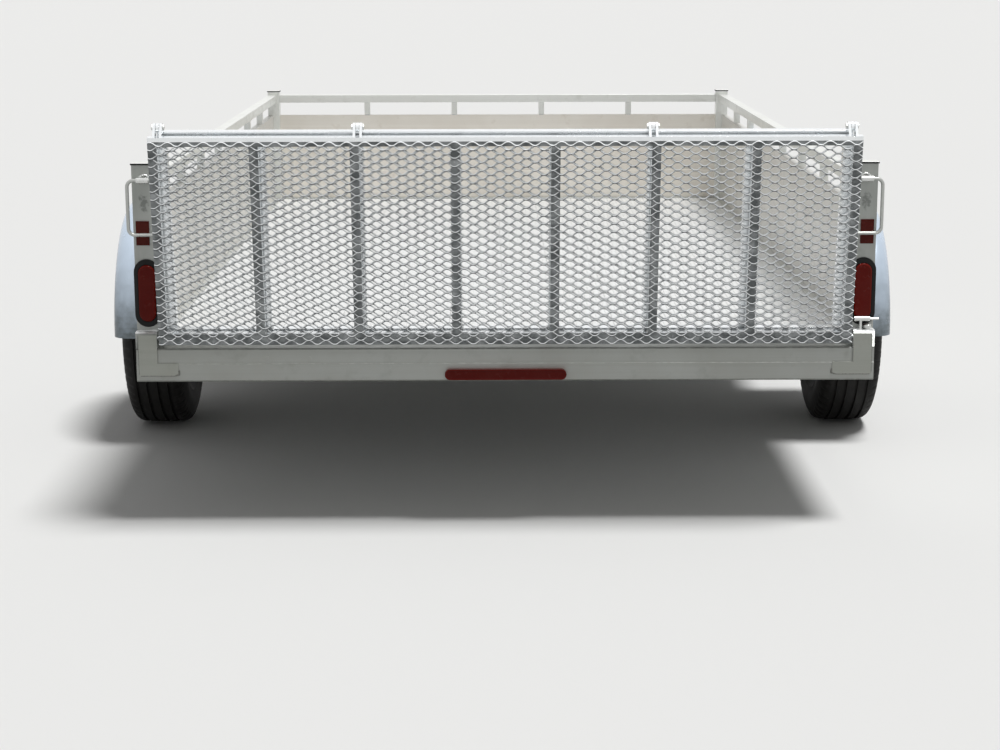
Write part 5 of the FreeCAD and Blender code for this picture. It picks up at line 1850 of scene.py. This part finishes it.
@dataclass
class Welds:
    """Weld beads of the bed, the tongue and the axle.

    Attributes:
        finishes: the materials.
        foot_bead: the radius of the beads at the feet.
        pad_bead: the radius of those along the axle's pads.
        thin: a thin bead's radius, at the uprights.
        thick: a thick bead's radius, at the tongue and across the pads.
        sunk: how far a bead's middle lies inside its corner.
        foot_sides: the posts' inner and outer side.
        plate_end: the corner plates' inner ends.
        pad_sides: the axle pads' inner and outer side.
        pad_half: half of a pad's length along the trailer.
        rail_half: half of a tongue rail's width along the sill.
    """

    finishes: Finishes
    foot_bead: float = 2.6 * MM
    pad_bead: float = 2.4 * MM
    thin: float = 2.0 * MM
    thick: float = 3.0 * MM
    sunk: float = 0.6 * MM
    foot_sides: tuple[float, float] = (0.980, 1.034)
    plate_end: float = 0.919
    pad_sides: tuple[float, float] = (0.9872, 1.0352)
    pad_half: float = 0.0384
    rail_half: float = 0.026

    def build(self) -> None:
        """Lay the beads."""
        frame_beads, plate_beads = bmesh.new(), bmesh.new()
        self.at_uprights(frame_beads)
        for side in SIDES:
            self.at_post(frame_beads, side)
            self.at_tongue(frame_beads, side)
            self.at_axle(frame_beads, side)
            self.at_plate(plate_beads, side)
        finish_piece("frame_welds", frame_beads, self.finishes.weld, Body.CHASSIS)
        finish_piece("plate_welds", plate_beads, self.finishes.dark_weld, Body.CHASSIS)

    def at_post(self, shape: Mesh, side: int) -> None:
        """A bead where a foot meets its post.

        Args:
            shape: the mesh to add to.
            side: 1 for the right one, -1 for the left one.
        """
        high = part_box("post_feet")[1]
        inner, outer = (Vector((side * x, high.y - self.sunk, high.z)) for x in self.foot_sides)
        weld_bead(shape, inner, outer, self.foot_bead)

    def at_plate(self, shape: Mesh, side: int) -> None:
        """Beads along a corner plate's lower and outer edges and blobs at its inner end.

        Args:
            shape: the mesh to add to.
            side: 1 for the right one, -1 for the left one.
        """
        low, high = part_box("corner_plates")
        rear = low.y + 1.4 * MM
        inner, outer = self.plate_end, high.x
        for x0, z0, x1, z1, radius in ((inner + 0.004, low.z, outer - 0.003, low.z, 1.8),
                                       (inner - 0.001, low.z + 0.001, inner - 0.001, low.z + 0.016, 3.0),
                                       (inner - 0.004, low.z + 0.004, inner + 0.010, low.z + 0.001, 2.6),
                                       (outer, low.z + 0.003, outer, high.z - 0.003, 1.4)):
            weld_bead(shape, Vector((side * x0, rear, z0)), Vector((side * x1, rear, z1)), radius * MM)

    def at_uprights(self, shape: Mesh) -> None:
        """Beads at both ends of every upright.

        Args:
            shape: the mesh to add to.
        """
        low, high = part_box("side_uprights")
        for y0, y1 in spans("side_uprights", 1):
            for x in (x for pair in spans("side_uprights", 0) for x in pair):
                for z in (low.z + 0.8 * MM, high.z - 0.8 * MM):
                    weld_bead(shape, Vector((x, y0 + 0.002, z)), Vector((x, y1 - 0.002, z)), self.thin)
        low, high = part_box("front_uprights")
        for x0, x1 in spans("front_uprights", 0):
            for y in (low.y, high.y):
                for z in (low.z + 0.8 * MM, high.z - 0.8 * MM):
                    weld_bead(shape, Vector((x0 + 0.002, y, z)), Vector((x1 - 0.002, y, z)), self.thin)

    def at_tongue(self, shape: Mesh, side: int) -> None:
        """Beads at a rail's crossing with the front sill and by the coupler.

        Args:
            shape: the mesh to add to.
            side: 1 for the right rail, -1 for the left one.
        """
        low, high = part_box("front_sill")
        coupler_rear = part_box("coupler")[0].y
        for y, z in ((high.y + self.sunk, low.z - 0.4 * MM), (low.y - self.sunk, low.z - 0.4 * MM),
                     (coupler_rear + 0.002, low.z + 0.8 * MM)):
            middle = 0.0281 + (high.y + 1.0 - y) * math.tan(TONGUE_TURN)
            weld_bead(shape, Vector((side * (middle - self.rail_half), y, z)),
                      Vector((side * (middle + self.rail_half), y, z)), self.thick)
        foot, head = (rail_point(0.1708, 0.0275, height, side) for height in (0.361, 0.415))
        weld_bead(shape, foot, head, self.thick)

    def at_axle(self, shape: Mesh, side: int) -> None:
        """Beads round one of the axle's pads.

        Args:
            shape: the mesh to add to.
            side: 1 for the right one, -1 for the left one.
        """
        low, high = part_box("axle_beam")
        top, under = high.z - self.sunk, high.z - 0.0084
        for x in self.pad_sides:
            weld_bead(shape, Vector((side * x, low.y + 0.004, top)), Vector((side * x, high.y - 0.004, top)),
                      self.pad_bead)
        middle = (low.y + high.y) / 2
        for y in (middle - self.pad_half, middle + self.pad_half):
            weld_bead(shape, Vector((side * 0.989, y, under)), Vector((side * 1.033, y, under)), self.thick)


@dataclass
class Fittings:
    """Bolts, plugs, the latches' eyes and the crank's grip.

    Attributes:
        finishes: the materials.
        flange_bolts: how many bolts hold a fender.
        flange_arc: the arc that they span, in degrees.
        flange_radius: their distance from the wheel's centre.
        flange_side: how far out they stand.
        coupler_bolts: the coupler bolts' places along a tongue rail.
        pad_bolts: the axle pad bolts' places forward of the axle's rear.
        pad_rows: how far out they stand.
        catch: the gate catch's place across the trailer and behind the foot's front.
        ball_nuts: the nuts on the coupler, across the trailer, and their twists.
        eye: a latch eye's distance from the middle and its height.
        eye_radius: its ring's radius.
        sill_holes: the plugged holes in the rear sill, across the trailer and up.
        grip_ribs: how many ribs the crank's grip has.
    """

    finishes: Finishes
    flange_bolts: int = 7
    flange_arc: float = 156.0
    flange_radius: float = 0.402
    flange_side: float = 1.040
    coupler_bolts: tuple[float, float] = (0.052, 0.128)
    pad_bolts: tuple[float, float] = (0.028, 0.172)
    pad_rows: tuple[float, float] = (1.000, 1.022)
    catch: tuple[float, float] = (1.017, 0.014)
    ball_nuts: Points = ((0.020, 5.0), (-0.020, 33.0))
    eye: tuple[float, float] = (1.002, 0.984)
    eye_radius: float = 15.0 * MM
    sill_holes: Points = ((-0.831, 0.484), (-0.671, 0.486), (-0.550, 0.484))
    grip_ribs: int = 9

    def build(self) -> None:
        """Set the small parts down."""
        self.make_bolts()
        self.make_plugs()
        self.make_grip()
        self.make_eyes()

    def make_bolts(self) -> None:
        """The fenders', the tongue's and the axle's bolts, the coupler's nuts and the gate catch's knob."""
        shape = bmesh.new()
        small = hex_bolt(6.4, 4.4, 8.6)
        large = hex_bolt(10.4, 7.2, 13.5)
        nut = hex_bolt(10.4, 8.6, 12.5, 5.0)
        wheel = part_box("tyre_right")
        middle = (wheel[0].y + wheel[1].y) / 2
        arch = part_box("fender_right")[0].z
        axle_low, axle_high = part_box("axle_beam")
        for side in SIDES:
            for index in range(self.flange_bolts):
                turn = math.radians(self.flange_arc * (index / (self.flange_bolts - 1) - 0.5))
                place = Vector((side * self.flange_side, middle + self.flange_radius * math.sin(turn),
                                arch + self.flange_radius * math.cos(turn)))
                small.put(shape, place, Vector((side, 0, 0)), 17.0 * index)
            outward = Vector((side * math.cos(TONGUE_TURN), math.sin(TONGUE_TURN), 0))
            for index, along in enumerate(self.coupler_bolts):
                large.put(shape, rail_point(along, 0.0315, 0.389, side), outward, 21.0 * index + 8.0)
            for index, back in enumerate(self.pad_bolts):
                for x in self.pad_rows:
                    spot = Vector((side * x, axle_low.y + back, axle_high.z - 0.008))
                    small.put(shape, spot, DOWN, 31.0 * index)
        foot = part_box("post_feet")[1]
        knob = Stamp(spun(((0, -2), (7, -2), (7, 3), (11.5, 5), (12.5, 8), (12, 12), (9, 15.4), (4, 17),
                           (0, 17.3)), 24))
        knob.put(shape, Vector((self.catch[0], foot.y - self.catch[1], foot.z)), UP)
        coupler_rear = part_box("coupler")[0].y
        for x, twist in self.ball_nuts:
            nut.put(shape, Vector((x, coupler_rear + 0.060, 0.425)), UP, twist)
        finish_piece("bolts", shape, self.finishes.zinc, Body.CHASSIS)

    def make_plugs(self) -> None:
        """Plugs in the rear sill's face and in the ends of both cross sills."""
        plug = Stamp(spun(((0, -0.5), (6.5, -0.5), (6.5, 0.5), (5.9, 0.9), (0, 1.0)), 24))
        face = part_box("rear_sill")[0].y
        shape = bmesh.new()
        for x, z in self.sill_holes:
            plug.put(shape, Vector((x, face + SILL_STEP, z)), REARWARD)
        finish_piece("sill_plugs", shape, self.finishes.shaded_mill_x, Body.CHASSIS)
        shape = bmesh.new()
        for node, near, far, edge in (("rear_sill", 4.6, 2.6, 4.6), ("front_sill", 2.6, 2.6, 2.6)):
            low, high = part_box(node)
            for x0, x1 in ((low.x + 0.8 * MM, low.x + 4 * MM), (high.x - 4 * MM, high.x - 0.8 * MM)):
                block(shape, Vector((x0, low.y + near * MM, low.z + edge * MM)),
                      Vector((x1, high.y - far * MM, high.z - edge * MM)))
        round_edges(shape, 1.0 * MM)
        finish_piece("end_plugs", shape, self.finishes.rubber, Body.CHASSIS)

    def make_grip(self) -> None:
        """The ribbed grip on the jack's crank."""
        low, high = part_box("jack_crank")
        section = [(0, 0.4), (12.4, 0.4)]
        for index in range(self.grip_ribs):
            foot = 4.0 + index * 8.2
            section += [(13.2, foot), (13.2, foot + 5.0), (12.4, foot + 6.0), (12.4, foot + 7.6)]
        section += [(12.4, 78.6), (11.0, 80.4), (0, 80.4)]
        shape = bmesh.new()
        Stamp(spun(section, 24)).put(shape, Vector((low.x + 0.012, low.y + 0.012, high.z - 0.080)), UP)
        finish_piece("crank_grip", shape, self.finishes.rubber, Body.JACK)

    def make_eyes(self) -> None:
        """The bent eyes that hold the latch rods' upper legs to the posts."""
        shape = bmesh.new()
        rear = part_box("rear_post_right")[0].y - 3.2 * MM
        turns = [math.radians(22.5 * (step - 1)) for step in range(11)]
        for side in SIDES:
            centre = Vector((side * self.eye[0], rear, self.eye[1]))
            ring = [centre + Vector((self.eye_radius * math.cos(turn), 0, self.eye_radius * math.sin(turn)))
                    for turn in turns]
            for first, second in zip(ring, ring[1:]):
                rod(shape, first, second, 3.2 * MM, 12, 0.5 * MM)
        finish_piece("latch_eyes", shape, self.finishes.zinc, Body.CHASSIS)


def main() -> None:
    """Build the studio and the trailer's sub-assemblies in order."""
    logging.basicConfig(level=logging.INFO, format="%(name)s: %(message)s")
    finishes = Finishes()
    Viewpoint().build()
    Studio().build()
    for assembly in (Framework, RampGate, Wheels, Deck, Lamps, Welds, Fittings):
        assembly(finishes).build()


if __name__ == "__main__":
    main()
